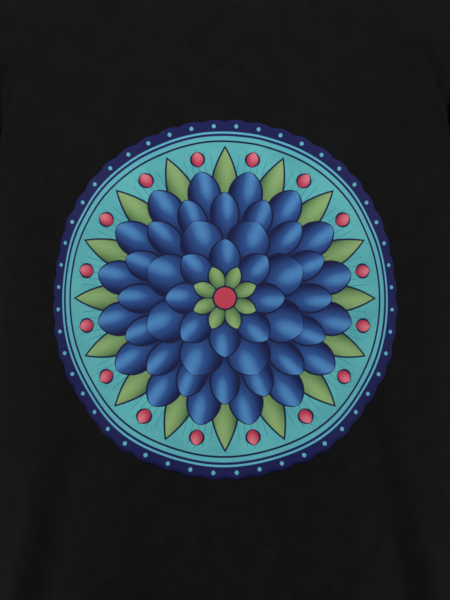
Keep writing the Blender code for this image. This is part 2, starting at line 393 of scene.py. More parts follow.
SHIRT = ShirtForm(
    front=PanelForm(
        face=Face.FRONT,
        depths=Levels(((-0.72, 0.116), (-0.55, 0.119), (-0.42, 0.124), (-0.31, 0.130), (-0.25, 0.126))),
        neck_bottom=(-0.088, -0.098),
        neck_row=8,
        armhole_depth=0.068,
        chest_lift=0.006,
        folds=(
            Fold(0.025, 0.05, -0.002, 0.024),
            Fold(0.052, 0.20, 0.006, 0.026),
            Fold(0.089, 0.25, -0.005, 0.014),
            Fold(0.106, 0.25, 0.003, 0.012),
        ),
        settled_folds=(
            Fold(0.025, 0.05, -0.003, 0.024),
            Fold(0.052, 0.20, 0.010, 0.026),
            Fold(0.089, 0.25, -0.006, 0.014),
            Fold(0.106, 0.25, 0.002, 0.012),
        ),
    ),
    back=PanelForm(
        face=Face.BACK,
        depths=Levels(((-0.72, 0.103), (-0.55, 0.102), (-0.42, 0.106), (-0.31, 0.113), (-0.25, 0.113))),
        neck_bottom=(0.066, -0.024),
        neck_row=13,
        armhole_depth=0.064,
        folds=(
            Fold(0.000, 0.00, -0.006, 0.028),
            Fold(0.062, 0.08, 0.010, 0.026),
            Fold(0.112, 0.15, -0.010, 0.019),
            Fold(0.146, 0.15, 0.007, 0.017),
        ),
        settled_folds=(
            Fold(0.000, 0.00, -0.007, 0.026),
            Fold(0.062, 0.08, 0.011, 0.022),
            Fold(0.108, 0.15, -0.018, 0.016),
            Fold(0.146, 0.15, 0.007, 0.015),
        ),
    ),
    widths=Levels(((-0.72, 0.206), (-0.25, 0.205))),
    shoulder_point=(0.218, 0.008, -0.048),
    neck_half_width=0.088,
    neck_height=0.0,
    armhole_inset=0.020,
    squareness=2.3,
    hem_z=-0.72,
    lower_rows=36,
    upper_rows=20,
)

TORSO = ShirtForm(
    front=PanelForm(
        face=Face.FRONT,
        depths=Levels(
            ((-0.78, 0.110), (-0.66, 0.100), (-0.52, 0.094), (-0.40, 0.098), (-0.30, 0.122), (-0.25, 0.122))
        ),
        neck_bottom=(-0.0845, -0.099),
        neck_row=8,
        armhole_depth=0.064,
        chest_lift=0.008,
    ),
    back=PanelForm(
        face=Face.BACK,
        depths=Levels(((-0.78, 0.108), (-0.68, 0.104), (-0.50, 0.080), (-0.36, 0.094), (-0.25, 0.109))),
        neck_bottom=(0.0625, -0.026),
        neck_row=13,
        armhole_depth=0.060,
    ),
    widths=Levels(((-0.78, 0.196), (-0.66, 0.196), (-0.50, 0.184), (-0.36, 0.182), (-0.25, 0.190))),
    shoulder_point=(0.212, 0.008, -0.053),
    neck_half_width=0.086,
    neck_height=-0.004,
    armhole_inset=0.026,
    squareness=2.25,
    hem_z=-0.78,
    lower_rows=16,
    upper_rows=20,
)


@dataclass(frozen=True)
class SleeveForm:
    """A sleeve, from the armhole seam to its opening."""

    from_vertical: float = math.radians(50.0)
    cuff_centre: Point = (0.338, 0.006, -0.231)
    cuff_half_height: float = 0.070
    cuff_half_depth: float = 0.046
    cap_bulge: float = 0.012
    rows: int = 15

    def up(self) -> Vector:
        """The direction across the sleeve, towards its top."""
        return Vector((math.cos(self.from_vertical), 0.0, math.sin(self.from_vertical)))

    def rings(self, shirt: ShirtForm) -> list[list[Vector]]:
        """Rings of points for the wearer's left sleeve, from the armhole to the opening.

        Args:
            shirt: the form whose armhole the sleeve is sewn to.

        Returns:
            The rings. Each starts under the arm, goes up the front, and ends where it started.
        """
        rows = shirt.upper_rows
        armhole = [shirt.armhole(shirt.front, row / rows) for row in range(rows)]
        armhole += [shirt.armhole(shirt.back, 1.0 - row / rows) for row in range(rows + 1)]
        rings = []
        for row in range(self.rows + 1):
            share = row / self.rows
            ring = []
            for number, start in enumerate(armhole):
                angle = 2.0 * math.pi * number / (len(armhole) - 1)
                end = Vector(self.cuff_centre) - self.up() * self.cuff_half_height * math.cos(angle)
                end.y -= self.cuff_half_depth * math.sin(angle)
                bulge = self.cap_bulge * math.sin(math.pi * share) * (0.5 - 0.5 * math.cos(angle))
                ring.append(start.lerp(end, share) + self.up() * bulge)
            rings.append(ring)
        return rings


# Flat patterns.


def laid_flat(rows: list[list[Vector]], starts: list[float]) -> list[list[Place]]:
    """Lays rows of points flat, and keeps the distances along the rows and up the columns.

    Args:
        rows: the points, from the hem up.
        starts: the place across of each row's first point.

    Returns:
        The places, as (distance across, distance from the hem), in metres.
    """
    flat: list[list[Place]] = []
    for number, row in enumerate(rows):
        line: list[Place] = []
        across = starts[number]
        for column, point in enumerate(row):
            if column:
                across += (point - row[column - 1]).length
            up = 0.0
            if number:
                across_below, up_below = flat[-1][column]
                way = (point - rows[number - 1][column]).length
                up = up_below + math.sqrt(max(0.0, way**2 - (across - across_below) ** 2))
            line.append((across, up))
        flat.append(line)
    return flat


def panel_pattern(rows: list[list[Vector]]) -> list[list[Place]]:
    """Where each point of half a panel lies on the flat cloth, across from the centre line."""
    return laid_flat(rows, [row[0].x for row in rows])


def sleeve_pattern(rings: list[list[Vector]]) -> list[list[Place]]:
    """Where each point of a sleeve lies on the flat cloth, across from the line along its top.

    Args:
        rings: the sleeve's points, from the armhole to the opening.

    Returns:
        The places, in the rings' order.
    """
    hem_up = rings[::-1]
    starts = []
    for ring in hem_up:
        around = sum((end - start).length for start, end in zip(ring, ring[1:]))
        starts.append(-0.5 * around)
    return laid_flat(hem_up, starts)[::-1]


def flat_extent(flat: list[list[Place]]) -> tuple[Place, float]:
    """The size of the cloth that a pattern is cut from, and the pattern's own area.

    Args:
        flat: a pattern's rows of places.

    Returns:
        The (width, length), in metres, and the area, in square metres.
    """
    across = [place[0] for line in flat for place in line]
    up = [place[1] for line in flat for place in line]
    area = 0.0
    for low, high in zip(flat, flat[1:]):
        for k in range(len(low) - 1):
            corners = (low[k], low[k + 1], high[k + 1], high[k])
            turns = zip(corners, corners[1:] + corners[:1])
            area += 0.5 * abs(sum(a[0] * b[1] - b[0] * a[1] for a, b in turns))
    return (max(across) - min(across), max(up) - min(up)), area


def other_side(line: list[Place]) -> list[Place]:
    """A pattern line's mirror image, run the other way, so the cloth stays on its left."""
    return [(-across, up) for across, up in reversed(line)]


def panel_edges(flat: list[list[Place]], panel: PanelForm, shirt: ShirtForm) -> dict[str, list[Place]]:
    """A whole panel's edges as pattern lines, each with the cloth on its left.

    Args:
        flat: the half panel's places.
        panel: the front or the back.
        shirt: the form that the panel belongs to.

    Returns:
        The lines by name.
    """
    armpit = shirt.lower_rows
    hem_half = flat[0]
    neck_half = [row[0] for row in reversed(flat[armpit + panel.neck_row :])]
    edges = {
        "hem": other_side(hem_half)[:-1] + hem_half,
        "neck": neck_half[:-1] + other_side(neck_half),
        "side_left": [row[-1] for row in flat[: armpit + 1]],
        "armhole_left": [row[-1] for row in flat[armpit:]],
        "shoulder_left": list(reversed(flat[-1])),
    }
    for name in ("side", "armhole", "shoulder"):
        edges[name + "_right"] = other_side(edges[name + "_left"])
    return edges


def sleeve_edges(flat: list[list[Place]]) -> dict[str, list[Place]]:
    """A sleeve's edges as pattern lines, each with the cloth on its left.

    Args:
        flat: the sleeve's places, from the armhole to the opening.

    Returns:
        The lines by name.
    """
    return {
        "hem": flat[-1],
        "armhole": list(reversed(flat[0])),
        "underarm_front": [row[0] for row in flat],
        "underarm_back": [row[-1] for row in reversed(flat)],
    }


def even_line(line: list[Place], step: float, inset: float = 0.0) -> list[Place]:
    """A pattern line moved onto the cloth and cut into equal steps.

    Args:
        line: the line, with the cloth on its left.
        step: the wanted step, in metres.
        inset: how far the line is moved to its left.

    Returns:
        The new line's places.
    """
    points = [Vector(place) for place in line]
    moved = []
    for number, point in enumerate(points):
        before = points[max(0, number - 1)]
        after = points[min(len(points) - 1, number + 1)]
        way = (after - before).normalized()
        moved.append(point + Vector((-way.y, way.x)) * inset)
    along = lengths_along(moved)
    count = max(2, round(along[-1] / step))
    return [tuple(moved[k].lerp(moved[k + 1], share)) for k, share in cut_evenly(along, count)]


# Hanging the cloth.


@dataclass
class Patch:
    """A grid of points with their pattern places, which piece it is, and which way it faces."""

    piece: int
    rows: list[list[Vector]]
    flat: list[list[Place]]
    turned: bool


@dataclass
class Torso:
    """What the shirt hangs on while its cloth settles. It is removed afterwards."""

    form: ShirtForm = TORSO
    columns: int = 14
    ball_centre: Point = (0.175, 0.008, -0.105)
    ball_radius: float = 0.056
    arm_radius: float = 0.050
    arm_length: float = 0.33
    arm_angle: float = math.radians(50.0)
    friction: float = 12.0
    outer_gap: float = 0.003
    inner_gap: float = 0.05
    objects: list[bpy.types.Object] = field(default_factory=list)

    def build(self) -> None:
        """Makes the trunk and both upper arms, as things the cloth can't pass through."""
        self.objects.append(self.build_trunk())
        for arm in Arm:
            self.objects += self.build_arm(arm)
        for part in self.objects:
            part.modifiers.new("Collision", "COLLISION")
            part.collision.thickness_outer = self.outer_gap
            part.collision.thickness_inner = self.inner_gap
            part.collision.cloth_friction = self.friction

    def build_trunk(self) -> bpy.types.Object:
        """The trunk, with the same rows as a shirt has but closer to the body.

        Returns:
            The trunk.
        """
        steps = [column / self.columns for column in range(self.columns + 1)]
        made = bmesh.new()
        for panel in (self.form.front, self.form.back):
            rows = self.form.half_rows(panel, steps)
            for arm in Arm:
                add_grid(made, mirrored(rows, arm), (panel.face is Face.FRONT) != (arm is Arm.LEFT))
        bmesh.ops.remove_doubles(made, verts=made.verts, dist=WELD_DISTANCE)
        return object_from(made, "torso_form")

    def build_arm(self, arm: Arm) -> list[bpy.types.Object]:
        """The shoulder ball and upper arm of one side.

        Args:
            arm: the side.

        Returns:
            The ball and the arm.
        """
        top = Vector(self.ball_centre)
        top.x *= arm.value
        down = Vector((arm.value * math.sin(self.arm_angle), 0.0, -math.cos(self.arm_angle)))
        middle = top + down * 0.5 * self.arm_length
        deselect()
        bpy.ops.mesh.primitive_uv_sphere_add(
            segments=32, ring_count=16, radius=self.ball_radius, location=top
        )
        ball = bpy.context.object
        bpy.ops.mesh.primitive_cylinder_add(
            vertices=32,
            radius=self.arm_radius,
            depth=self.arm_length,
            location=middle,
            rotation=(0.0, -arm.value * self.arm_angle, 0.0),
        )
        return [ball, bpy.context.object]

    def remove(self) -> None:
        """Takes the form away once the cloth has settled."""
        for part in self.objects:
            bpy.data.objects.remove(part, do_unlink=True)


def deselect() -> None:
    """Leaves nothing selected, so that an operator acts on its own piece alone."""
    for thing in bpy.context.selected_objects:
        thing.select_set(False)


def mirrored(rows: list[list[Vector]], arm: Arm) -> list[list[Vector]]:
    """The rows of the wearer's left side, on the side asked for."""
    return [[Vector((arm.value * point.x, point.y, point.z)) for point in row] for row in rows]


def add_grid(
    made: bmesh.types.BMesh, rows: list[list[Vector]], turned: bool
) -> list[list[bmesh.types.BMFace]]:
    """Adds a grid of four-cornered faces.

    Args:
        made: the mesh that gets them.
        rows: the grid's points.
        turned: whether the faces look the other way.

    Returns:
        The faces, row by row.
    """
    points = [[made.verts.new(point) for point in row] for row in rows]
    faces = []
    for low, high in zip(points, points[1:]):
        line = []
        for column in range(len(low) - 1):
            corners = (low[column], low[column + 1], high[column + 1], high[column])
            line.append(made.faces.new(corners[::-1] if turned else corners))
        faces.append(line)
    return faces


def linked(name: str, data: bpy.types.ID) -> bpy.types.Object:
    """Makes an object of a mesh, a light or a camera, and links it to the scene.

    Args:
        name: the object's name.
        data: what it shows.

    Returns:
        The object.
    """
    thing = bpy.data.objects.new(name, data)
    bpy.context.scene.collection.objects.link(thing)
    return thing


def object_from(made: bmesh.types.BMesh, name: str) -> bpy.types.Object:
    """Makes an object of a bmesh, links it, and frees the bmesh.

    Args:
        made: the bmesh.
        name: the name of the object and its mesh.

    Returns:
        The object.
    """
    mesh = bpy.data.meshes.new(name)
    made.to_mesh(mesh)
    made.free()
    return linked(name, mesh)


def baked(thing: bpy.types.Object) -> bpy.types.Mesh:
    """Applies all of an object's modifiers.

    Args:
        thing: the object.

    Returns:
        Its new mesh.
    """
    graph = bpy.context.evaluated_depsgraph_get()
    shown = thing.evaluated_get(graph)
    mesh = bpy.data.meshes.new_from_object(shown, preserve_all_data_layers=True, depsgraph=graph)
    old = thing.data
    thing.modifiers.clear()
    thing.data = mesh
    bpy.data.meshes.remove(old)
    return mesh


@dataclass
class HangingCloth:
    """The shirt's four cloth pieces as one welded sheet: cut, hung on the torso, and smoothed."""

    form: ShirtForm = SHIRT
    sleeve: SleeveForm = field(default_factory=SleeveForm)
    columns: int = 21
    frames: int = 40
    unevenness: float = 0.002
    snug_bottom: float = -0.30
    snug_rise: float = 0.10
    snug_half_width: float = 0.20
    snug_edge: float = 0.04
    collar_bottom: float = -0.11
    collar_half_width: float = 0.1
    collar_reach: float = 0.045
    smoothing_levels: int = 2
    names: tuple[str, ...] = ("front_panel", "back_panel", "sleeve_left", "sleeve_right")
    edges: dict[str, dict[str, list[Place]]] = field(default_factory=dict)
    flat_sizes: dict[str, tuple[Place, float]] = field(default_factory=dict)

    def patches(self) -> list[Patch]:
        """Cuts the pieces, and notes each one's edges on its pattern.

        Returns:
            The patches: four half panels and two sleeves.
        """
        steps = self.form.even_steps(self.columns)
        cut = []
        for piece, panel in enumerate((self.form.front, self.form.back)):
            rows = self.form.half_rows(panel, steps)
            flat = panel_pattern(rows)
            self.edges[self.names[piece]] = panel_edges(flat, panel, self.form)
            (width, length), area = flat_extent(flat)
            self.flat_sizes[self.names[piece]] = ((2.0 * width, length), 2.0 * area)
            for arm in Arm:
                places = [[(arm.value * across, up) for across, up in line] for line in flat]
                turned = (panel.face is Face.FRONT) != (arm is Arm.LEFT)
                cut.append(Patch(piece, mirrored(rows, arm), places, turned))
        rings = self.sleeve.rings(self.form)
        flat = sleeve_pattern(rings)
        for piece, arm in ((2, Arm.LEFT), (3, Arm.RIGHT)):
            self.edges[self.names[piece]] = sleeve_edges(flat)
            self.flat_sizes[self.names[piece]] = flat_extent(flat)
            cut.append(Patch(piece, mirrored(rings, arm), flat, arm is Arm.LEFT))
        return cut

    def sew(self) -> bpy.types.Object:
        """Welds the patches into one sheet. Each face keeps its piece and its pattern places.

        Returns:
            The sheet.
        """
        made = bmesh.new()
        pattern = made.loops.layers.uv.new(PATTERN)
        for patch in self.patches():
            faces = add_grid(made, patch.rows, patch.turned)
            for row, line in enumerate(faces):
                for column, face in enumerate(line):
                    face.material_index = patch.piece
                    places = [
                        patch.flat[row][column],
                        patch.flat[row][column + 1],
                        patch.flat[row + 1][column + 1],
                        patch.flat[row + 1][column],
                    ]
                    if patch.turned:
                        places.reverse()
                    for loop, place in zip(face.loops, places):
                        loop[pattern].uv = place
        bmesh.ops.remove_doubles(made, verts=made.verts, dist=WELD_DISTANCE)
        return object_from(made, "hanging_cloth")

    def neck_points(self, mesh: bpy.types.Mesh) -> set[int]:
        """The points of the neck seam, which the collar holds in place.

        Args:
            mesh: the welded sheet's mesh.

        Returns:
            The points' numbers.
        """
        made = bmesh.new()
        made.from_mesh(mesh)
        found = set()
        for vertex in made.verts:
            near = abs(vertex.co.x) < self.collar_half_width and vertex.co.z > self.collar_bottom
            if vertex.is_boundary and near:
                found.add(vertex.index)
        made.free()
        return found

    def hang(self, cloth: bpy.types.Object) -> None:
        """Lets the cloth settle on the torso, with the same result each time.

        Args:
            cloth: the welded sheet. Its mesh becomes the settled one.
        """
        cut = [vertex.co.copy() for vertex in cloth.data.vertices]
        neck = self.neck_points(cloth.data)
        held = cloth.vertex_groups.new(name="held at the neck")
        held.add(sorted(neck), 1.0, "REPLACE")
        snug = cloth.vertex_groups.new(name="snug at the chest")
        noise.seed_set(3)
        for vertex in cloth.data.vertices:
            place = vertex.co
            share = eased((place.z - self.snug_bottom) / self.snug_rise)
            share *= eased((self.snug_half_width - abs(place.x)) / self.snug_edge)
            if share > 0.0:
                snug.add([vertex.index], share, "REPLACE")
            if vertex.index not in neck:
                outward = Vector((place.x, place.y, 0.0)).normalized()
                push = noise.noise(place * 9.0 + Vector((3.1, 0.7, 5.3)))
                vertex.co = place + outward * self.unevenness * push
        self.set_cloth(cloth.modifiers.new("Cloth", "CLOTH"), held.name, snug.name)
        scene = bpy.context.scene
        scene.frame_start = 1
        scene.frame_end = self.frames
        for number in range(1, self.frames + 1):
            scene.frame_set(number)
        baked(cloth)
        scene.frame_set(1)
        self.steady(cloth.data, cut, neck)

    def steady(self, mesh: bpy.types.Mesh, cut: list[Vector], neck: set[int]) -> None:
        """Lets the collar hold the settled cloth beside it flat, less so further out.

        Args:
            mesh: the settled cloth.
            cut: where its points were before.
            neck: the points of the neck seam.
        """
        collar = KDTree(len(neck))
        for index in neck:
            collar.insert(cut[index], index)
        collar.balance()
        for vertex in mesh.vertices:
            place = cut[vertex.index]
            distance = collar.find(place)[2]
            vertex.co = place.lerp(vertex.co, eased(distance / self.collar_reach))

    def set_cloth(self, cloth: bpy.types.ClothModifier, held: str, snug: str) -> None:
        """Gives the cloth the weight and stiffness of cotton jersey.

        Args:
            cloth: the modifier.
            held: the group of points that stay in place.
            snug: the group of points where the cloth draws in a little.
        """
        jersey = cloth.settings
        jersey.quality = 6
        jersey.mass = 0.1
        jersey.air_damping = 2.0
        jersey.tension_stiffness = 60
        jersey.compression_stiffness = 40
        jersey.shear_stiffness = 12
        jersey.bending_stiffness = 3.5
        jersey.tension_damping = 10
        jersey.compression_damping = 10
        jersey.shear_damping = 8
        jersey.bending_damping = 1.0
        jersey.vertex_group_mass = held
        jersey.pin_stiffness = 1.0
        jersey.shrink_min = 0.0
        jersey.shrink_max = 0.035
        jersey.vertex_group_shrink = snug
        cloth.collision_settings.distance_min = 0.003
        cloth.collision_settings.collision_quality = 3
        cloth.collision_settings.use_self_collision = False
        cloth.point_cache.frame_start = 1
        cloth.point_cache.frame_end = self.frames

    def build(self) -> bpy.types.Object:
        """Sews the sheet, hangs it, and smooths it.

        Returns:
            The smoothed sheet.
        """
        cloth = self.sew()
        torso = Torso()
        torso.build()
        self.hang(cloth)
        torso.remove()
        for vertex in cloth.data.vertices:
            if abs(vertex.co.x) < self.form.widths.at(vertex.co.z):
                vertex.co = self.form.deepened(vertex.co)
        smooth = cloth.modifiers.new("Smooth", "SUBSURF")
        smooth.levels = smooth.render_levels = self.smoothing_levels
        baked(cloth)
        return cloth


# Cloth pieces.


@dataclass
class Surface:
    """A cloth piece's outer face, with the way from its flat pattern to where it hangs."""

    points: list[Vector]
    normals: list[Vector]
    triangles: list[tuple[int, int, int]]
    places: list[tuple[Vector, Vector, Vector]]
    tree: BVHTree
    mirrored: bool

    @classmethod
    def read(cls, mesh: bpy.types.Mesh, normals: list[Vector]) -> "Surface":
        """Reads a mesh and its pattern.

        Args:
            mesh: the outer face.
            normals: the outward direction at each of its points.

        Returns:
            The surface.
        """
        mesh.calc_loop_triangles()
        pattern = mesh.uv_layers[PATTERN].data
        triangles = []
        places = []
        for triangle in mesh.loop_triangles:
            triangles.append(tuple(triangle.vertices))
            places.append(tuple(Vector((*pattern[loop].uv, 0.0)) for loop in triangle.loops))
        corners = [place for three in places for place in three]
        faces = [(3 * n, 3 * n + 1, 3 * n + 2) for n in range(len(places))]
        tree = BVHTree.FromPolygons(corners, faces)
        first, second, third = places[0]
        mirrored = (second - first).cross(third - first).z < 0.0
        return cls([v.co.copy() for v in mesh.vertices], normals, triangles, places, tree, mirrored)

    def at(self, place: Place) -> tuple[Vector, Vector]:
        """The point and the outward direction at one place of the pattern.

        Args:
            place: the place.

        Returns:
            The point, and the direction with a length of 1.
        """
        nearest, _, number, _ = self.tree.find_nearest(Vector((place[0], place[1], 0.0)))
        weights = interpolate.poly_3d_calc(self.places[number], nearest)
        point = Vector()
        normal = Vector()
        for weight, corner in zip(weights, self.triangles[number]):
            point += self.points[corner] * weight
            normal += self.normals[corner] * weight
        return point, normal.normalized()


@dataclass
class ClothPiece:
    """One sewn piece of jersey: its relief at seams and hem, its thickness, and its threads."""

    name: str
    number: int
    edges: dict[str, list[Place]]
    flat_size: Place
    flat_area: float
    rests_on: tuple[str, ...] = ()
    seams: tuple[str, ...] = ()
    thickness: float = 0.0008
    hem_thickness: float = 0.0018
    hem_depth: float = 0.0200
    hem_stand_out: float = 0.0003
    stitch_lines: Place = (0.0125, 0.0185)
    neck_stitch_line: float = 0.0042
    allowances: tuple[str, ...] = ()
    groove_depth: float = 0.0006
    groove_width: float = 0.0024
    pucker_height: float = 0.0004
    pucker_step: float = 0.011
    pucker_reach: float = 0.012
    unevenness: float = 0.0006
    wrinkle_size: float = 0.045
    seam_hold: float = 0.012
    surface: Surface | None = None
    thing: bpy.types.Object | None = None

    def cut(self, cloth: bpy.types.Object) -> None:
        """Takes this piece's faces out of the smoothed sheet.

        Args:
            cloth: the whole sheet.
        """
        sheet = cloth.data
        everywhere = [v.vector.copy() for v in sheet.vertex_normals]
        made = bmesh.new()
        made.from_mesh(sheet)
        made.verts.ensure_lookup_table()
        kept = made.verts.layers.int.new("kept")
        for vertex in made.verts:
            vertex[kept] = vertex.index
        others = [face for face in made.faces if face.material_index != self.number]
        bmesh.ops.delete(made, geom=others, context="FACES")
        normals = [everywhere[vertex[kept]] for vertex in made.verts]
        for face in made.faces:
            face.material_index = 0
            face.smooth = True
        made.verts.layers.int.remove(kept)
        self.thing = object_from(made, self.name + "_cloth")
        self.shape(normals)
        self.surface = Surface.read(self.thing.data, normals)

    def seam_tree(self) -> tuple[KDTree, list[float]]:
        """Points along the piece's seams, with each one's distance along its seam.

        A seam counts as equally long on both of its pieces, so their puckers meet. A sleeve's
        armhole meets the front's up to the shoulder, and the back's down again.

        Returns:
            The points by their pattern places, and the distances in the same order.
        """
        found: list[tuple[Place, float]] = []
        for name in self.seams:
            line = even_line(self.edges[name], EDGE_STEP)
            length = SEAM_LENGTHS[name.split("_")[0]]
            for number, place in enumerate(line):
                share = number / (len(line) - 1)
                if name == "armhole":
                    share = 2.0 * min(share, 1.0 - share)
                found.append((place, share * length))
        tree = KDTree(len(found))
        for number, (place, _) in enumerate(found):
            tree.insert(Vector((*place, 0.0)), number)
        tree.balance()
        return tree, [along for _, along in found]

    def relief(self, across: float, up: float, seam: float, along: float) -> float:
        """How far the outer face stands out at one place.

        Only what both pieces of a seam share reaches the seam, so it stays closed.

        Args:
            across: the pattern's first coordinate.
            up: the distance from the hem.
            seam: the distance from the nearest seam.
            along: the distance along that seam.

        Returns:
            The height, below zero where the cloth is drawn in.
        """
        turn = 2.0 * math.pi / self.pucker_step
        drift = 2.0 * noise.noise(Vector((along * 30.0, 0.0, 0.0)))
        height = -self.groove_depth * bell(seam, self.groove_width)
        height += self.pucker_height * math.sin(turn * along + drift) * bell(seam, self.pucker_reach)
        in_hem = 1.0 - eased((up - self.hem_depth) / 0.002)
        height += self.hem_stand_out * in_hem
        free = eased(seam / self.seam_hold)
        roping = math.sin(turn * (across + 0.6 * up) + drift)
        mid_hem = 0.5 * self.hem_depth
        height += 0.6 * self.pucker_height * free * roping * bell(up - mid_hem, 1.2 * mid_hem)
        for line in self.stitch_lines:
            height -= self.hem_stand_out * bell(up - line, 0.0016)
        spot = Vector((across / self.wrinkle_size, 0.6 * up / self.wrinkle_size, 7.0 * self.number))
        height += self.unevenness * free * (noise.noise(spot) + 0.4 * noise.noise(spot * 2.7))
        return height

    def shape(self, normals: list[Vector]) -> None:
        """Works the seams' grooves and puckers and the hem's ridge into the outer face.

        Args:
            normals: the outward direction at each point.
        """
        mesh = self.thing.data
        tree, along = self.seam_tree()
        places: list[Place] = [(0.0, 0.0)] * len(mesh.vertices)
        pattern = mesh.uv_layers[PATTERN].data
        for loop in mesh.loops:
            places[loop.vertex_index] = tuple(pattern[loop.index].uv)
        for vertex in mesh.vertices:
            across, up = places[vertex.index]
            _, number, distance = tree.find(Vector((across, up, 0.0)))
            height = self.relief(across, up, distance, along[number])
            vertex.co = vertex.co + normals[vertex.index] * height
        hem = self.thing.vertex_groups.new(name="thickness")
        plain = self.thickness / self.hem_thickness
        for number, (_, up) in enumerate(places):
            in_hem = 1.0 - eased((up - self.hem_depth + 0.001) / 0.002)
            hem.add([number], plain + (1.0 - plain) * in_hem, "REPLACE")

    def sew(self, thread: bpy.types.Material) -> list[bpy.types.Object]:
        """Sews the hem's two rows and the neck's row, and lays the overlocked seam allowances.

        Args:
            thread: the thread's material.

        Returns:
            The pieces of thread and the allowances.
        """
        rows = ThreadRow(self.name + "_stitches")
        for distance in self.stitch_lines:
            rows.add_line(self.surface, self.edges["hem"], distance)
            rows.add_line(self.surface, self.edges["hem"], distance, self.hem_thickness)
        if "neck" in self.edges:
            rows.add_line(self.surface, self.edges["neck"], self.neck_stitch_line)
        sewn = [rows.build(thread)]
        if self.allowances:
            strip = InsideStrip(
                self.name + "_overlock",
                width=0.006,
                thickness=0.0014,
                below=self.thickness + 0.0001,
                start=0.0004,
                step=0.0014,
                ripple=0.00022,
            )
            lines = []
            for name in self.allowances:
                lines.append([place for place in self.edges[name] if place[1] > self.hem_depth])
            allowance = strip.build(self.surface, lines, thread)
            dress(allowance, thread)
            sewn.append(allowance)
        return sewn

    def finish(self, cloth: bpy.types.Material, with_pieces: list[bpy.types.Object]) -> None:
        """Gives the piece its thickness, material and place in the frame.

        Args:
            cloth: the jersey.
            with_pieces: the threads and strips sewn to it. It is not used.
        """
        thicken(self.thing, self.hem_thickness, "thickness")
        dress(self.thing, cloth, (self.name,))
        log.info("%s: %d faces", self.name, len(self.thing.data.polygons))


def thicken(thing: bpy.types.Object, thickness: float, group: str = "") -> None:
    """Gives a sheet its thickness, inwards from the face it has, and applies it.

    Args:
        thing: the sheet.
        thickness: the thickness where the group's weight is 1.
        group: the vertex group that thins it, if any.
    """
    shell = thing.modifiers.new("Thickness", "SOLIDIFY")
    shell.thickness = thickness
    shell.offset = -1.0
    if group:
        shell.vertex_group = group
    baked(thing)
    thing.vertex_groups.clear()


def dress(
    thing: bpy.types.Object, finish: bpy.types.Material, nodes: tuple[str, ...] = ()
) -> None:
    """Gives a piece its material and its place in the frame.

    Args:
        thing: the piece.
        finish: its material.
        nodes: the CAD nodes it stands for.
    """
    thing.data.materials.clear()
    thing.data.materials.append(finish)
    thing.data.shade_smooth()
    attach(thing, BODY)
    if nodes:
        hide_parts(*nodes)


@dataclass
class ThreadRow:
    """Rows of sewn thread on one cloth piece, as one object."""

    name: str
    stitch_length: float = 0.0027
    stitch_step: float = 0.0034
    thread_radius: float = 0.00021
    sunk: float = 0.00006
    stitches: list[tuple[Vector, Vector, Vector]] = field(default_factory=list)

    def add_line(self, surface: Surface, line: list[Place], inset: float, inside: float = 0.0) -> None:
        """Lays a row of stitches along a pattern line.

        Args:
            surface: the cloth it is sewn to.
            line: the edge that it follows, with the cloth on its left.
            inset: its distance from that edge.
            inside: how far below the outer face the thread lies, for one seen from inside.
        """
        places = even_line(line, self.stitch_step, inset)
        spots = [surface.at(place) for place in places]
        for (start, first), (end, second) in zip(spots, spots[1:]):
            normal = (first + second).normalized()
            way = (end - start).normalized()
            lift = self.thread_radius - self.sunk
            if inside:
                lift = -inside - lift
            self.stitches.append((start.lerp(end, 0.5) + normal * lift, way, normal))

    def template(self) -> bpy.types.Object:
        """One stitch, a short bowed thread with tapered ends, modelled once.

        Returns:
            The stitch, which runs along X.
        """
        deselect()
        bpy.ops.mesh.primitive_uv_sphere_add(
            segments=6, ring_count=5, radius=self.thread_radius, rotation=(0.0, 0.5 * math.pi, 0.0)
        )
        stitch = bpy.context.object
        bpy.ops.object.transform_apply(location=False, rotation=True, scale=False)
        half = 0.5 * self.stitch_length
        for vertex in stitch.data.vertices:
            along = vertex.co.x / self.thread_radius
            vertex.co.x = half * along
            vertex.co.z += self.thread_radius * (0.4 - 1.2 * along * along)
        return stitch

    def build(self, finish: bpy.types.Material) -> bpy.types.Object:
        """Copies the stitch to each of its places and joins them all.

        Args:
            finish: the thread's material.

        Returns:
            The finished threads.
        """
        stitch = self.template()
        shape = [vertex.co.copy() for vertex in stitch.data.vertices]
        faces = [tuple(polygon.vertices) for polygon in stitch.data.polygons]
        bpy.data.objects.remove(stitch, do_unlink=True)
        points: list[Vector] = []
        corners: list[tuple[int, ...]] = []
        for centre, way, normal in self.stitches:
            side = normal.cross(way).normalized()
            up = way.cross(side)
            first = len(points)
            points += [centre + way * co.x + side * co.y + up * co.z for co in shape]
            corners += [tuple(first + corner for corner in face) for face in faces]
        mesh = bpy.data.meshes.new(self.name)
        mesh.from_pydata(points, [], corners)
        thing = linked(self.name, mesh)
        dress(thing, finish)
        log.info("%s: %d stitches", self.name, len(self.stitches))
        return thing


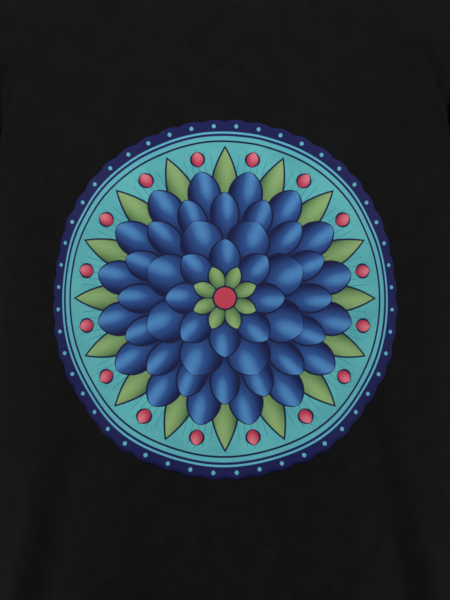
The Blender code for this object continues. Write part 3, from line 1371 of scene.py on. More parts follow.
@dataclass
class InsideStrip:
    """A strip that lies on the inside of a cloth piece along one of its edges."""

    name: str
    width: float
    thickness: float
    below: float
    start: float = 0.0
    step: float = 0.003
    cells: int = 4
    edge_drop: float = 0.0
    ripple: float = 0.0
    ripple_step: float = 0.0042

    def rows(self, surface: Surface, line: list[Place]) -> list[list[Vector]]:
        """The strip's rows of points along one pattern line.

        Args:
            surface: the cloth it is sewn to.
            line: the edge that it follows, with the cloth on its left.

        Returns:
            The rows, from the edge inwards.
        """
        count = max(4, round(length_of(line) / self.step))
        rows = []
        for cell in range(self.cells + 1):
            share = cell / self.cells
            row = []
            for number, place in enumerate(even_count(line, count, self.start + self.width * share)):
                point, normal = surface.at(place)
                wave = math.sin(2.0 * math.pi * number * self.step / self.ripple_step + 1.9 * cell)
                bulge = 4.0 * share * (1.0 - share)
                drop = self.edge_drop * (1.0 - eased(share / 0.5))
                row.append(point - normal * (self.below + drop + self.ripple * wave * bulge))
            rows.append(row)
        return rows

    def build(
        self, surface: Surface, lines: list[list[Place]], finish: bpy.types.Material
    ) -> bpy.types.Object:
        """Lays the strip along pattern lines and gives it its thickness.

        Args:
            surface: the cloth it is sewn to.
            lines: the edges that it follows, with the cloth on their left.
            finish: the strip's material.

        Returns:
            The strip, not yet placed in the frame.
        """
        made = bmesh.new()
        pattern = made.loops.layers.uv.new(PATTERN)
        depth = self.width / self.cells
        for line in lines:
            for row, faces in enumerate(add_grid(made, self.rows(surface, line), surface.mirrored)):
                for column, face in enumerate(faces):
                    lay_pattern(face, pattern, (column, row), (self.step, depth), surface.mirrored)
        thing = object_from(made, self.name)
        thicken(thing, self.thickness)
        thing.data.materials.append(finish)
        log.info("%s: %d faces", self.name, len(thing.data.polygons))
        return thing


def lay_pattern(
    face: bmesh.types.BMFace,
    pattern: bmesh.types.BMLayerItem,
    spot: tuple[int, int],
    cell: Place,
    turned: bool,
) -> None:
    """Gives a grid's face its pattern places, in an even grid.

    Args:
        face: the face.
        pattern: the layer that keeps the places.
        spot: the face's column and row.
        cell: a grid cell's size.
        turned: whether the grid's faces look the other way.
    """
    column, row = spot
    corners = [(column, row), (column + 1, row), (column + 1, row + 1), (column, row + 1)]
    if turned:
        corners.reverse()
    for loop, (along, up) in zip(face.loops, corners):
        loop[pattern].uv = (along * cell[0], up * cell[1])


@dataclass
class NeckTape:
    """The tape that covers the back of the neck seam from inside."""

    width: float = 0.011
    thickness: float = 0.0006
    below: float = 0.0014
    start: float = 0.0030
    step: float = 0.0015
    cells: int = 8
    edge_drop: float = 0.0024

    def build(self, back: ClothPiece, tape: bpy.types.Material) -> None:
        """Lays the tape along the back neck.

        Args:
            back: the back panel.
            tape: the tape's material.
        """
        edge = back.edges["neck"]
        strip = InsideStrip(
            "woven_neck_tape",
            self.width,
            self.thickness,
            self.below,
            start=self.start,
            step=self.step,
            cells=self.cells,
            edge_drop=self.edge_drop,
        )
        piece = strip.build(back.surface, [edge], tape)
        dress(piece, tape, ("neck_tape",))


def length_of(line: list[Place]) -> float:
    """A pattern line's length."""
    return sum((Vector(end) - Vector(start)).length for start, end in zip(line, line[1:]))


def even_count(line: list[Place], count: int, inset: float) -> list[Place]:
    """A pattern line moved onto the cloth and cut into a number of equal steps.

    Args:
        line: the line, with the cloth on its left.
        count: how many steps there are.
        inset: how far the line is moved to its left.

    Returns:
        The new line's places.
    """
    moved = even_line(line, EDGE_STEP, inset)
    result = []
    for number in range(count + 1):
        at = (len(moved) - 1) * number / count
        low = min(int(at), len(moved) - 2)
        result.append(tuple(Vector(moved[low]).lerp(Vector(moved[low + 1]), at - low)))
    return result


@dataclass
class NeckBand:
    """The ribbed collar: a strip of rib knit folded in two, sewn on all round the neck."""

    height: float = 0.021
    lean: float = math.radians(25.0)
    lean_at_shoulder: float = math.radians(52.0)
    neck_half_width: float = 0.088
    allowance: float = 0.0045
    ribs: int = 272
    points_in_a_rib: int = 4
    rows: int = 9
    fold_radius: float = 0.0006
    fold_rows: int = 3
    layer: float = 0.0006
    rib_depth: float = 0.00022
    ditch: float = 0.0008
    ditch_width: float = 0.0022
    tuck: float = 0.0016
    fullness: float = 0.0004
    centre: Place = (0.0, -0.011)
    seam_step: float = 0.001
    seam_smoothing: int = 24
    top_smoothing: int = 400

    def loop(self, front: ClothPiece, back: ClothPiece) -> list[Vector]:
        """The neck seam in equal steps, by the front from the wearer's left.

        Args:
            front: the front panel.
            back: the back panel.

        Returns:
            The seam's points.
        """
        halves = []
        for panel in (front, back):
            places = even_line(panel.edges["neck"], self.seam_step)
            halves.append([panel.surface.at(place)[0] for place in places])
        closed = halves[0] + halves[1][::-1] + halves[0][:1]
        cuts = cut_evenly(lengths_along(closed), self.ribs * self.points_in_a_rib)
        seam = [closed[k].lerp(closed[k + 1], share) for k, share in cuts[:-1]]
        return smoothed_ring(seam, self.seam_smoothing)

    def stand(self, point: Vector) -> Vector:
        """The way that the band stands up from a point of the neck seam.

        Args:
            point: the point of the seam.

        Returns:
            The way, with a length of 1.
        """
        inward = Vector((self.centre[0] - point.x, self.centre[1] - point.y, 0.0)).normalized()
        to_shoulder = eased(abs(point.x) / self.neck_half_width)
        lean = self.lean + (self.lean_at_shoulder - self.lean) * to_shoulder
        return inward * math.sin(lean) + Vector((0.0, 0.0, math.cos(lean)))

    def section(self) -> list[Place]:
        """The folded strip's path, as (height, depth inwards), from the outer seam edge.

        Returns:
            The path's points.
        """
        rows = [(-self.allowance, 0.0), (-0.5 * self.allowance, 0.0)]
        rows += [(self.height * k / self.rows, 0.0) for k in range(self.rows + 1)]
        path = list(rows)
        for k in range(1, self.fold_rows + 1):
            turn = math.pi * k / (self.fold_rows + 1)
            up = self.height + self.fold_radius * math.sin(turn)
            path.append((up, self.fold_radius * (1.0 - math.cos(turn))))
        path += [(up, 2.0 * self.fold_radius) for up, _ in reversed(rows)]
        return path

    def build(self, front: ClothPiece, back: ClothPiece, finish: bpy.types.Material) -> bpy.types.Object:
        """Builds the band on the neck seam.

        Args:
            front: the front panel.
            back: the back panel.
            finish: the rib knit.

        Returns:
            The finished band.
        """
        seam = self.loop(front, back)
        top = smoothed_ring(
            [point + self.stand(point) * self.height for point in seam], self.top_smoothing
        )
        count = len(seam)
        length = sum((seam[k] - seam[k - 1]).length for k in range(count))
        path = self.section()
        grid = []
        for up, depth in path:
            row = []
            for number in range(count + 1):
                point = seam[number % count]
                way = (seam[(number + 1) % count] - seam[number % count - 1]).normalized()
                rise = (top[number % count] - point) / self.height
                outward = way.cross(rise).normalized()
                if outward.dot(Vector((point.x - self.centre[0], point.y - self.centre[1], 0.0))) < 0.0:
                    outward = -outward
                rib = math.cos(2.0 * math.pi * number / self.points_in_a_rib)
                relief = self.rib_depth * rib * (1.0 if depth == 0.0 else -1.0)
                puff = self.fullness * math.sin(math.pi * min(1.0, max(0.0, up / self.height)))
                sink = self.ditch * bell(max(0.0, up), self.ditch_width)
                sink += self.tuck * eased(-up / self.allowance)
                row.append(point + rise * up + outward * (relief + puff - sink - depth))
            grid.append(row)
        made = bmesh.new()
        pattern = made.loops.layers.uv.new(PATTERN)
        cell = (length / count, self.height / self.rows)
        for row, line in enumerate(add_grid(made, grid, True)):
            for column, face in enumerate(line):
                lay_pattern(face, pattern, (column, row), cell, True)
        bmesh.ops.remove_doubles(made, verts=made.verts, dist=0.00001)
        band = object_from(made, "rib_neckband")
        thicken(band, self.layer)
        dress(band, finish, ("neckband",))
        log.info("rib_neckband: %.3f m round, %d faces", length, len(band.data.polygons))
        return band


def smoothed_ring(ring: list[Vector], passes: int) -> list[Vector]:
    """A closed line with its small corners rounded off.

    Args:
        ring: the line's points.
        passes: how often they are evened out.

    Returns:
        The evened points.
    """
    count = len(ring)
    for _ in range(passes):
        ring = [(ring[k - 1] + ring[k] * 2.0 + ring[(k + 1) % count]) * 0.25 for k in range(count)]
    return ring


@dataclass
class ChestPrint:
    """The round layer of ink on the front panel."""

    centre_z: float = -0.3445
    half_width: float = 0.1420
    half_height: float = 0.1378
    spokes: int = 288
    rings: int = 44
    scallops: int = 48
    scallop_depth: float = 0.013
    clearance: float = 0.00022
    thickness: float = 0.00018

    def centre_place(self, surface: Surface) -> float:
        """The distance from the hem, on the pattern, of the print's middle.

        Args:
            surface: the front panel's outer face.

        Returns:
            The distance, in metres.
        """
        low, high = 0.2, 0.55
        for _ in range(30):
            middle = 0.5 * (low + high)
            if surface.at((0.0, middle))[0].z < self.centre_z:
                low = middle
            else:
                high = middle
        return 0.5 * (low + high)

    def spot(self, ring: int, spoke: int) -> Place:
        """The disc's point on one ring and spoke. The outer rings are scalloped.

        Args:
            ring: the ring, from 0 in the middle.
            spoke: the spoke, from 0 on the right.

        Returns:
            The point, as shares of the print's half width and half height.
        """
        angle = 2.0 * math.pi * spoke / self.spokes
        share = ring / self.rings
        round_out = abs(math.sin(0.5 * self.scallops * angle))
        reach = share * (1.0 - self.scallop_depth * (1.0 - round_out) * eased((share - 0.9) / 0.1))
        return (reach * math.cos(angle), reach * math.sin(angle))

    def build(self, front: ClothPiece, finish: bpy.types.Material) -> bpy.types.Object:
        """Lays the ink on the settled front panel.

        Args:
            front: the front panel.
            finish: the ink.

        Returns:
            The finished print.
        """
        middle = self.centre_place(front.surface)
        places = [(0.0, 0.0)]
        for ring in range(1, self.rings + 1):
            places += [self.spot(ring, spoke) for spoke in range(self.spokes)]
        flat = [(self.half_width * across, middle + self.half_height * up) for across, up in places]
        made = bmesh.new()
        pattern = made.loops.layers.uv.new(PATTERN)
        design = made.loops.layers.uv.new(DESIGN)
        points = []
        for place in flat:
            point, normal = front.surface.at(place)
            points.append(made.verts.new(point + normal * (self.clearance + self.thickness)))
        made.verts.index_update()
        for spoke in range(self.spokes):
            after = (spoke + 1) % self.spokes
            made.faces.new((points[0], points[1 + spoke], points[1 + after]))
            for inner in range(1, (self.rings - 1) * self.spokes, self.spokes):
                outer = inner + self.spokes
                corners = (inner + spoke, outer + spoke, outer + after, inner + after)
                made.faces.new([points[corner] for corner in corners])
        for face in made.faces:
            for loop in face.loops:
                loop[design].uv = places[loop.vert.index]
                loop[pattern].uv = flat[loop.vert.index]
        film = object_from(made, "printed_rosette")
        thicken(film, self.thickness)
        dress(film, finish, ("chest_print",))
        log.info("printed_rosette: %d faces", len(film.data.polygons))
        return film


# Materials.


Value = float | bpy.types.NodeSocket
Colour = Point
Stops = tuple[tuple[float, Colour], ...]


@dataclass
class Nodes:
    """Short ways to lay out a node tree."""

    tree: bpy.types.NodeTree

    def add(self, kind: str, **settings: object) -> bpy.types.Node:
        """Adds a node and sets its properties.

        Args:
            kind: the node's type.
            settings: its properties.

        Returns:
            The node.
        """
        node = self.tree.nodes.new(kind)
        for name, value in settings.items():
            setattr(node, name, value)
        return node

    def feed(self, socket: bpy.types.NodeSocket, value: object) -> None:
        """Links a socket to another, or sets it.

        Args:
            socket: the input.
            value: a socket, a number, a colour or a place.
        """
        if isinstance(value, bpy.types.NodeSocket):
            self.tree.links.new(value, socket)
        elif isinstance(value, tuple) and len(value) == 3 and socket.type == "RGBA":
            socket.default_value = (*value, 1.0)
        else:
            socket.default_value = value

    def math(self, operation: str, *values: Value) -> bpy.types.NodeSocket:
        """One step of arithmetic.

        Args:
            operation: what is done.
            values: the numbers or sockets that it takes.

        Returns:
            The result.
        """
        node = self.add("ShaderNodeMath", operation=operation)
        for socket, value in zip(node.inputs, values):
            self.feed(socket, value)
        return node.outputs[0]

    def times(self, first: Value, second: Value) -> bpy.types.NodeSocket:
        """The product of two values."""
        return self.math("MULTIPLY", first, second)

    def plus(self, first: Value, second: Value) -> bpy.types.NodeSocket:
        """The sum of two values."""
        return self.math("ADD", first, second)

    def minus(self, first: Value, second: Value) -> bpy.types.NodeSocket:
        """The difference of two values."""
        return self.math("SUBTRACT", first, second)

    def between(
        self, value: Value, low: Value, high: Value, first: Value = 0.0, second: Value = 1.0
    ) -> bpy.types.NodeSocket:
        """Carries a value smoothly from one range to another, clamped.

        Args:
            value: what is carried.
            low: the first range's start.
            high: its end.
            first: the second range's start.
            second: its end.

        Returns:
            The carried value.
        """
        node = self.add("ShaderNodeMapRange", interpolation_type="SMOOTHSTEP")
        given = {"Value": value, "From Min": low, "From Max": high, "To Min": first, "To Max": second}
        for name, setting in given.items():
            self.feed(node.inputs[name], setting)
        return node.outputs["Result"]

    def band(self, value: Value, low: float, high: float, soft: float = 0.004) -> bpy.types.NodeSocket:
        """A mask that is 1 from one value to another."""
        risen = self.between(value, low - soft, low)
        return self.times(risen, self.between(value, high, high + soft, 1.0, 0.0))

    def mix(self, share: Value, first: object, second: object) -> bpy.types.NodeSocket:
        """Mixes two colours.

        Args:
            share: how much of the second colour there is.
            first: the first colour.
            second: the second colour.

        Returns:
            The mixed colour.
        """
        node = self.add("ShaderNodeMix", data_type="RGBA")
        self.feed(node.inputs[0], share)
        self.feed(node.inputs[6], first)
        self.feed(node.inputs[7], second)
        return node.outputs[2]

    def noise(self, place: object, scale: float, detail: float = 3.0) -> bpy.types.NodeSocket:
        """Soft noise from 0 to 1.

        Args:
            place: where it is read.
            scale: how fine it is.
            detail: how many finer layers it has.

        Returns:
            The value.
        """
        node = self.add("ShaderNodeTexNoise")
        self.feed(node.inputs["Vector"], place)
        node.inputs["Scale"].default_value = scale
        node.inputs["Detail"].default_value = detail
        return node.outputs["Fac"]

    def ramp(self, share: Value, stops: Stops) -> bpy.types.NodeSocket:
        """Colours along a scale.

        Args:
            share: the place on the scale.
            stops: the colours and their places.

        Returns:
            The colour.
        """
        node = self.add("ShaderNodeValToRGB")
        band = node.color_ramp.elements
        while len(band) < len(stops):
            band.new(0.5)
        for element, (position, colour) in zip(band, stops):
            element.position = position
            element.color = (*colour, 1.0)
        self.feed(node.inputs[0], share)
        return node.outputs[0]

    def uv(self, name: str) -> bpy.types.NodeSocket:
        """The piece's own place on a flat layer."""
        return self.add("ShaderNodeUVMap", uv_map=name).outputs[0]

    def split(self, place: object) -> bpy.types.NodeOutputs:
        """The parts of a place, as X, Y and Z.

        Args:
            place: the place.

        Returns:
            Its parts, by name.
        """
        node = self.add("ShaderNodeSeparateXYZ")
        self.feed(node.inputs[0], place)
        return node.outputs

    def relief(self, height: object, strength: float) -> bpy.types.NodeSocket:
        """A bumped normal.

        Args:
            height: the height of the surface.
            strength: how strongly it shows.

        Returns:
            The normal.
        """
        node = self.add("ShaderNodeBump")
        node.inputs["Strength"].default_value = strength
        node.inputs["Distance"].default_value = 0.0002
        self.feed(node.inputs["Height"], height)
        return node.outputs[0]

    def group(self, tree: bpy.types.NodeTree, **values: object) -> bpy.types.Node:
        """Places a node group with its own values. Underscores in names stand for spaces.

        Args:
            tree: the group.
            values: its inputs.

        Returns:
            The group's node.
        """
        node = self.add("ShaderNodeGroup", node_tree=tree)
        for name, value in values.items():
            self.feed(node.inputs[name.replace("_", " ")], value)
        return node


def new_group(
    name: str, inputs: dict[str, str], outputs: tuple[str, ...]
) -> tuple[Nodes, bpy.types.NodeOutputs, bpy.types.NodeInputs]:
    """Starts a node group.

    Args:
        name: its name.
        inputs: each input's name and kind of socket.
        outputs: the names of its outputs, all of them values.

    Returns:
        Its nodes, what is given to it, and what it puts out.
    """
    tree = bpy.data.node_groups.new(name, "ShaderNodeTree")
    for label, kind in inputs.items():
        tree.interface.new_socket(label, in_out="INPUT", socket_type=kind)
    for label in outputs:
        tree.interface.new_socket(label, in_out="OUTPUT", socket_type="NodeSocketFloat")
    nodes = Nodes(tree)
    return nodes, nodes.add("NodeGroupInput").outputs, nodes.add("NodeGroupOutput").inputs


def knit_group() -> bpy.types.NodeTree:
    """Plain knitting: columns of small V-shaped loops, as a height and a painted shade from 0 to 1.

    Returns:
        The group.
    """
    inputs = {"Place": "NodeSocketVector", "Column": "NodeSocketFloat", "Row": "NodeSocketFloat"}
    nodes, given, made = new_group("knit loops", inputs, ("Height", "Shade"))
    place = nodes.split(given["Place"])
    column = nodes.math("DIVIDE", place["X"], given["Column"])
    within = nodes.minus(nodes.math("FRACT", column), 0.5)
    slant = nodes.times(nodes.math("ABSOLUTE", within), 1.1)
    row = nodes.plus(nodes.math("DIVIDE", place["Y"], given["Row"]), slant)
    loops = nodes.math("COSINE", nodes.times(row, 2.0 * math.pi))
    ridge = nodes.math("COSINE", nodes.times(within, math.pi))
    nodes.feed(made["Height"], nodes.plus(nodes.times(loops, 0.25), nodes.times(ridge, 0.6)))
    # The shade is painted shade: lighter on the loops' crests, darker in the gaps between them.
    nodes.feed(made["Shade"], nodes.between(nodes.plus(ridge, nodes.times(loops, 0.3)), 0.1, 1.1))
    return nodes.tree


def fibre_group() -> bpy.types.NodeTree:
    """The short loose fibres of worn cotton, as a height and a shade from 0 to 1.

    Returns:
        The group.
    """
    nodes, given, made = new_group("cotton fibres", {"Place": "NodeSocketVector"}, ("Height", "Shade"))
    stretch = nodes.add("ShaderNodeMapping")
    stretch.inputs["Rotation"].default_value = (0.4, 0.7, 0.3)
    stretch.inputs["Scale"].default_value = (1.0, 1.0, 0.18)
    nodes.feed(stretch.inputs["Vector"], given["Place"])
    strand_scale = 1500.0
    patch_scale = 60.0
    strands = nodes.noise(stretch.outputs[0], strand_scale)
    patches = nodes.noise(given["Place"], patch_scale)
    nodes.feed(made["Height"], strands)
    both = nodes.plus(nodes.times(strands, 0.65), nodes.times(patches, 0.35))
    nodes.feed(made["Shade"], nodes.between(both, 0.37, 0.63))
    return nodes.tree


def petal_group() -> bpy.types.NodeTree:
    """A ring of petals: where they are, their outlines, and the place within each one.

    Returns:
        The group.
    """
    values = ("Radius", "Angle", "Count", "Turn", "Inner", "Outer", "Width", "Tip", "Blunt", "Line")
    inputs = {name: "NodeSocketFloat" for name in values}
    nodes, given, made = new_group("petal ring", inputs, ("Mask", "Edge", "Across", "Along"))
    sector = nodes.math("DIVIDE", math.pi, given["Count"])
    turned = nodes.plus(given["Angle"], given["Turn"])
    within = nodes.math("WRAP", turned, sector, nodes.times(sector, -1.0))
    across = nodes.times(given["Radius"], nodes.math("SINE", within))
    out = nodes.times(given["Radius"], nodes.math("COSINE", within))
    span = nodes.minus(given["Outer"], given["Inner"])
    share = nodes.math("DIVIDE", nodes.minus(out, given["Inner"]), span)
    clamped = nodes.math("MINIMUM", nodes.math("MAXIMUM", share, 0.0), 1.0)
    swing = nodes.math("SINE", nodes.times(nodes.math("POWER", clamped, given["Tip"]), math.pi))
    profile = nodes.math("POWER", nodes.math("MAXIMUM", swing, 0.0), given["Blunt"])
    inside = nodes.minus(nodes.times(profile, given["Width"]), nodes.math("ABSOLUTE", across))
    far_line = nodes.times(given["Line"], 1.5)
    nodes.feed(made["Mask"], nodes.between(inside, 0.0, 0.004))
    nodes.feed(made["Edge"], nodes.between(inside, given["Line"], far_line, 1.0, 0.0))
    nodes.feed(made["Across"], nodes.math("DIVIDE", across, given["Width"]))
    nodes.feed(made["Along"], clamped)
    return nodes.tree


def new_material(name: str, **settings: float) -> tuple[bpy.types.Material, Nodes, bpy.types.NodeInputs]:
    """Starts a material with constants set on the shader's own sockets.

    Args:
        name: its name.
        settings: the shader's sockets, with underscores for spaces.

    Returns:
        The material, its nodes and its shader's inputs.
    """
    finish = bpy.data.materials.new(name)
    finish.use_nodes = True
    shader = finish.node_tree.nodes["Principled BSDF"].inputs
    for label, value in settings.items():
        shader[label.replace("_", " ")].default_value = value
    return finish, Nodes(finish.node_tree), shader


@dataclass(frozen=True)
class SharedGroups:
    """The node groups that several finishes use."""

    knit: bpy.types.NodeTree
    fibres: bpy.types.NodeTree
    petals: bpy.types.NodeTree


@dataclass(frozen=True)
class JerseyFinish:
    """Fine black cotton jersey, matt with a soft sheen, its colour partly painted shade between the knit's
    loops.
    """

    name: str = "black cotton jersey"
    dark: Colour = (0.0016, 0.0016, 0.0018)
    light: Colour = (0.0060, 0.0060, 0.0064)
    column: float = KNIT_COLUMN
    row: float = KNIT_ROW
    roughness: float = 0.88
    roughness_spread: float = 0.06
    sheen: float = 0.004
    specular: float = 0.05
    bump: float = 0.35

    def build(self, shared: SharedGroups) -> bpy.types.Material:
        """Builds the cloth's material from the knit, whose loops carry painted shade, and its fibres.

        Args:
            shared: the node groups that finishes share.

        Returns:
            The material.
        """
        finish, nodes, shader = new_material(
            self.name, Sheen_Weight=self.sheen, Sheen_Roughness=0.35, Specular_IOR_Level=self.specular
        )
        knit = nodes.group(shared.knit, Place=nodes.uv(PATTERN), Column=self.column, Row=self.row).outputs
        place = nodes.add("ShaderNodeTexCoord").outputs["Object"]
        fibres = nodes.group(shared.fibres, Place=place).outputs
        # The colour is partly painted shade, darker in the gaps between the knit's loops, and partly the
        # fibres' random tone.
        shade = nodes.plus(nodes.times(knit["Shade"], 0.45), nodes.times(fibres["Shade"], 0.55))
        nodes.feed(shader["Base Color"], nodes.mix(shade, self.dark, self.light))
        smoother = self.roughness - self.roughness_spread
        rougher = self.roughness + self.roughness_spread
        nodes.feed(shader["Roughness"], nodes.between(shade, 0.0, 1.0, smoother, rougher))
        height = nodes.plus(knit["Height"], nodes.times(fibres["Height"], 0.5))
        nodes.feed(shader["Normal"], nodes.relief(height, self.bump))
        return finish


@dataclass(frozen=True)
class TapeFinish:
    """Black cotton tape, woven in a herringbone, with painted shade in the twill's grooves."""

    dark: Colour = (0.0050, 0.0050, 0.0055)
    light: Colour = (0.0180, 0.0180, 0.0190)
    band: float = 0.0028
    pitch: float = 0.0008

    def build(self, shared: SharedGroups) -> bpy.types.Material:
        """Builds the tape's material.

        Args:
            shared: the node groups that finishes share.

        Returns:
            The material.
        """
        finish, nodes, shader = new_material("black tape", Sheen_Weight=0.04, Specular_IOR_Level=0.2)
        place = nodes.split(nodes.uv(PATTERN))
        zigzag = nodes.math("PINGPONG", place["Y"], self.band)
        slanted = nodes.math("DIVIDE", nodes.plus(place["X"], zigzag), self.pitch)
        twill = nodes.math("SINE", nodes.times(slanted, 2.0 * math.pi))
        fibres = nodes.group(shared.fibres, Place=nodes.add("ShaderNodeTexCoord").outputs["Object"]).outputs
        cloudy = nodes.plus(0.6, nodes.times(fibres["Shade"], 0.4))
        # The shade is painted shade along the twill's ridges and grooves, times the fibres' random tone.
        shade = nodes.times(nodes.between(twill, -0.8, 0.8), cloudy)
        nodes.feed(shader["Base Color"], nodes.mix(shade, self.dark, self.light))
        nodes.feed(shader["Roughness"], nodes.between(shade, 0.0, 1.0, 0.9, 0.75))
        nodes.feed(shader["Normal"], nodes.relief(twill, 0.5))
        return finish


@dataclass(frozen=True)
class ThreadFinish:
    """Black sewing thread, a little glossier than the cloth."""

    dark: Colour = (0.0060, 0.0060, 0.0065)
    light: Colour = (0.0180, 0.0180, 0.0190)
    twist_scale: float = 3200.0

    def build(self) -> bpy.types.Material:
        """Builds the thread's material.

        Returns:
            The material.
        """
        finish, nodes, shader = new_material("black thread", Sheen_Weight=0.03, Specular_IOR_Level=0.3)
        place = nodes.add("ShaderNodeTexCoord").outputs["Object"]
        twist = nodes.noise(place, self.twist_scale, 2.0)
        shade = nodes.between(twist, 0.35, 0.65)
        nodes.feed(shader["Base Color"], nodes.mix(shade, self.dark, self.light))
        nodes.feed(shader["Roughness"], nodes.between(shade, 0.0, 1.0, 0.55, 0.72))
        return finish


@dataclass(frozen=True)
class PetalRing:
    """One ring of petals on the print, with its reach and shape as shares of the print's radius."""

    count: int
    turned: bool
    inner: float
    outer: float
    width: float
    tip: float
    blunt: float
    stops: Stops
    veins: float = 0.0
    line: float = 0.010


@dataclass(frozen=True)
class InkFinish:
    """The printed rosette: blue petals, green darts and coral dots on teal, in a navy border.

    Radii are shares of the print's radius. A pair is where a soft edge starts and ends, or the two
    sides of a thin line.
    """

    navy: Colour = (0.0065, 0.0075, 0.0600)
    line: Colour = (0.0055, 0.0075, 0.0360)
    teal: Colour = (0.0850, 0.3400, 0.3500)
    deep_teal: Colour = (0.0220, 0.1750, 0.2250)
    pale_blue: Colour = (0.0850, 0.3200, 0.4200)
    coral: Colour = (0.3900, 0.0380, 0.0620)
    blues: Stops = (
        (0.0, (0.0035, 0.0050, 0.0350)),
        (0.35, (0.0080, 0.0210, 0.0950)),
        (0.75, (0.0180, 0.0600, 0.2000)),
        (1.0, (0.0560, 0.1800, 0.3900)),
    )
    greens: Stops = (
        (0.0, (0.0280, 0.0650, 0.0300)),
        (0.45, (0.1000, 0.1850, 0.0650)),
        (1.0, (0.1950, 0.3150, 0.1200)),
    )
    corals: Stops = (
        (0.0, (0.0900, 0.0090, 0.0300)),
        (0.40, (0.3900, 0.0380, 0.0700)),
        (1.0, (0.5300, 0.1350, 0.1700)),
    )
    eye: Place = (0.056, 0.060)
    eye_rim: Place = (0.066, 0.070)
    dark_line: Place = (0.868, 0.875)
    inner_line: Place = (0.884, 0.890)
    border_edge: Place = (0.900, 0.904)
    border_line: Place = (0.918, 0.926)
    darts: int = 16
    beads: int = 48
    rays: int = 64

    def rings(self) -> tuple[PetalRing, ...]:
        """The rings of darts, dots and petals, from the lowest layer to the top one.

        Returns:
            The rings.
        """
        return (
            PetalRing(self.darts, False, 0.42, 0.850, 0.080, 0.85, 0.90, self.greens, veins=0.50),
            PetalRing(self.darts, True, 0.735, 0.825, 0.045, 1.0, 0.50, self.corals),
            PetalRing(self.darts, True, 0.38, 0.710, 0.098, 1.35, 0.55, self.blues, veins=0.42),
            PetalRing(self.darts, False, 0.28, 0.585, 0.086, 1.35, 0.55, self.blues, veins=0.42),
            PetalRing(8, True, 0.16, 0.455, 0.125, 1.30, 0.55, self.blues, veins=0.42),
            PetalRing(8, False, 0.06, 0.325, 0.092, 1.30, 0.55, self.blues, veins=0.42),
            PetalRing(8, True, 0.03, 0.185, 0.052, 1.20, 0.60, self.greens),
        )

    def build(self, shared: SharedGroups) -> bpy.types.Material:
        """Prints the design's layers in order and gives the ink its wear and knit.

        Args:
            shared: the node groups that finishes share.

        Returns:
            The material.
        """
        finish, nodes, shader = new_material("print ink", Specular_IOR_Level=0.1, Sheen_Weight=0.004)
        design = nodes.uv(DESIGN)
        place = nodes.split(design)
        squares = nodes.plus(nodes.times(place["X"], place["X"]), nodes.times(place["Y"], place["Y"]))
        radius = nodes.math("SQRT", squares)
        angle = nodes.math("ARCTAN2", place["Y"], place["X"])
        colour = self.field(nodes, design, radius, angle)
        for ring in self.rings():
            colour = self.print_ring(nodes, shared, colour, radius, angle, ring)
        colour = nodes.mix(nodes.between(radius, *self.eye_rim, 1.0, 0.0), colour, self.line)
        colour = nodes.mix(nodes.between(radius, *self.eye, 1.0, 0.0), colour, self.coral)
        colour = self.border(nodes, shared, colour, radius, angle)
        wear = nodes.noise(design, 90.0)
        colour = nodes.mix(nodes.between(wear, 0.30, 0.70, 0.0, 0.10), colour, self.line)
        nodes.feed(shader["Base Color"], colour)
        nodes.feed(shader["Roughness"], nodes.between(wear, 0.3, 0.7, 0.60, 0.74))
        knit = nodes.group(shared.knit, Place=nodes.uv(PATTERN), Column=KNIT_COLUMN, Row=KNIT_ROW).outputs
        nodes.feed(shader["Normal"], nodes.relief(knit["Height"], 0.22))
        return finish

    def field(self, nodes: Nodes, design: object, radius: Value, angle: Value) -> bpy.types.NodeSocket:
        """The teal field, with fine rays behind the darts.

        Args:
            nodes: the material's nodes.
            design: the place on the print.
            radius: the distance from its middle.
            angle: the direction from its middle.

        Returns:
            The colour.
        """
        cloudy = nodes.between(nodes.noise(design, 4.0), 0.35, 0.75, 0.0, 0.35)
        colour = nodes.mix(cloudy, self.teal, self.deep_teal)
        rays = nodes.math("ABSOLUTE", nodes.math("SINE", nodes.times(angle, float(self.rays))))
        swing = nodes.math("COSINE", nodes.times(angle, float(self.darts)))
        reach = nodes.plus(0.79, nodes.times(swing, -0.045))
        shown = nodes.between(nodes.minus(radius, reach), 0.0, 0.006, 1.0, 0.0)
        thin = nodes.times(nodes.between(rays, 0.10, 0.28, 1.0, 0.0), shown)
        return nodes.mix(nodes.times(thin, 0.7), colour, self.deep_teal)

    def print_ring(
        self, nodes: Nodes, shared: SharedGroups, under: object, radius: Value, angle: Value, ring: PetalRing
    ) -> bpy.types.NodeSocket:
        """Prints one ring of petals over what is there.

        Args:
            nodes: the material's nodes.
            shared: the shared groups.
            under: the colour below.
            radius: the distance from the print's middle.
            angle: the direction from its middle.
            ring: the ring.

        Returns:
            The new colour.
        """
        shape = nodes.group(
            shared.petals,
            Radius=radius,
            Angle=angle,
            Count=float(ring.count),
            Turn=math.pi / ring.count if ring.turned else 0.0,
            Inner=ring.inner,
            Outer=ring.outer,
            Width=ring.width,
            Tip=ring.tip,
            Blunt=ring.blunt,
            Line=ring.line,
        ).outputs
        off_side = nodes.math("ABSOLUTE", nodes.plus(shape["Across"], 0.18))
        crown = nodes.minus(1.0, nodes.math("POWER", off_side, 1.6))
        lit = nodes.times(crown, nodes.between(shape["Along"], 0.0, 0.75, 0.25, 1.0))
        colour = nodes.ramp(lit, ring.stops)
        if ring.veins:
            fan = nodes.math("ABSOLUTE", nodes.math("SINE", nodes.times(shape["Across"], 11.0)))
            fading = nodes.between(shape["Along"], 0.30, 0.62, ring.veins, 0.0)
            colour = nodes.mix(nodes.times(nodes.between(fan, 0.0, 0.3, 1.0, 0.0), fading), colour, self.line)
        colour = nodes.mix(shape["Edge"], colour, self.line)
        return nodes.mix(shape["Mask"], under, colour)

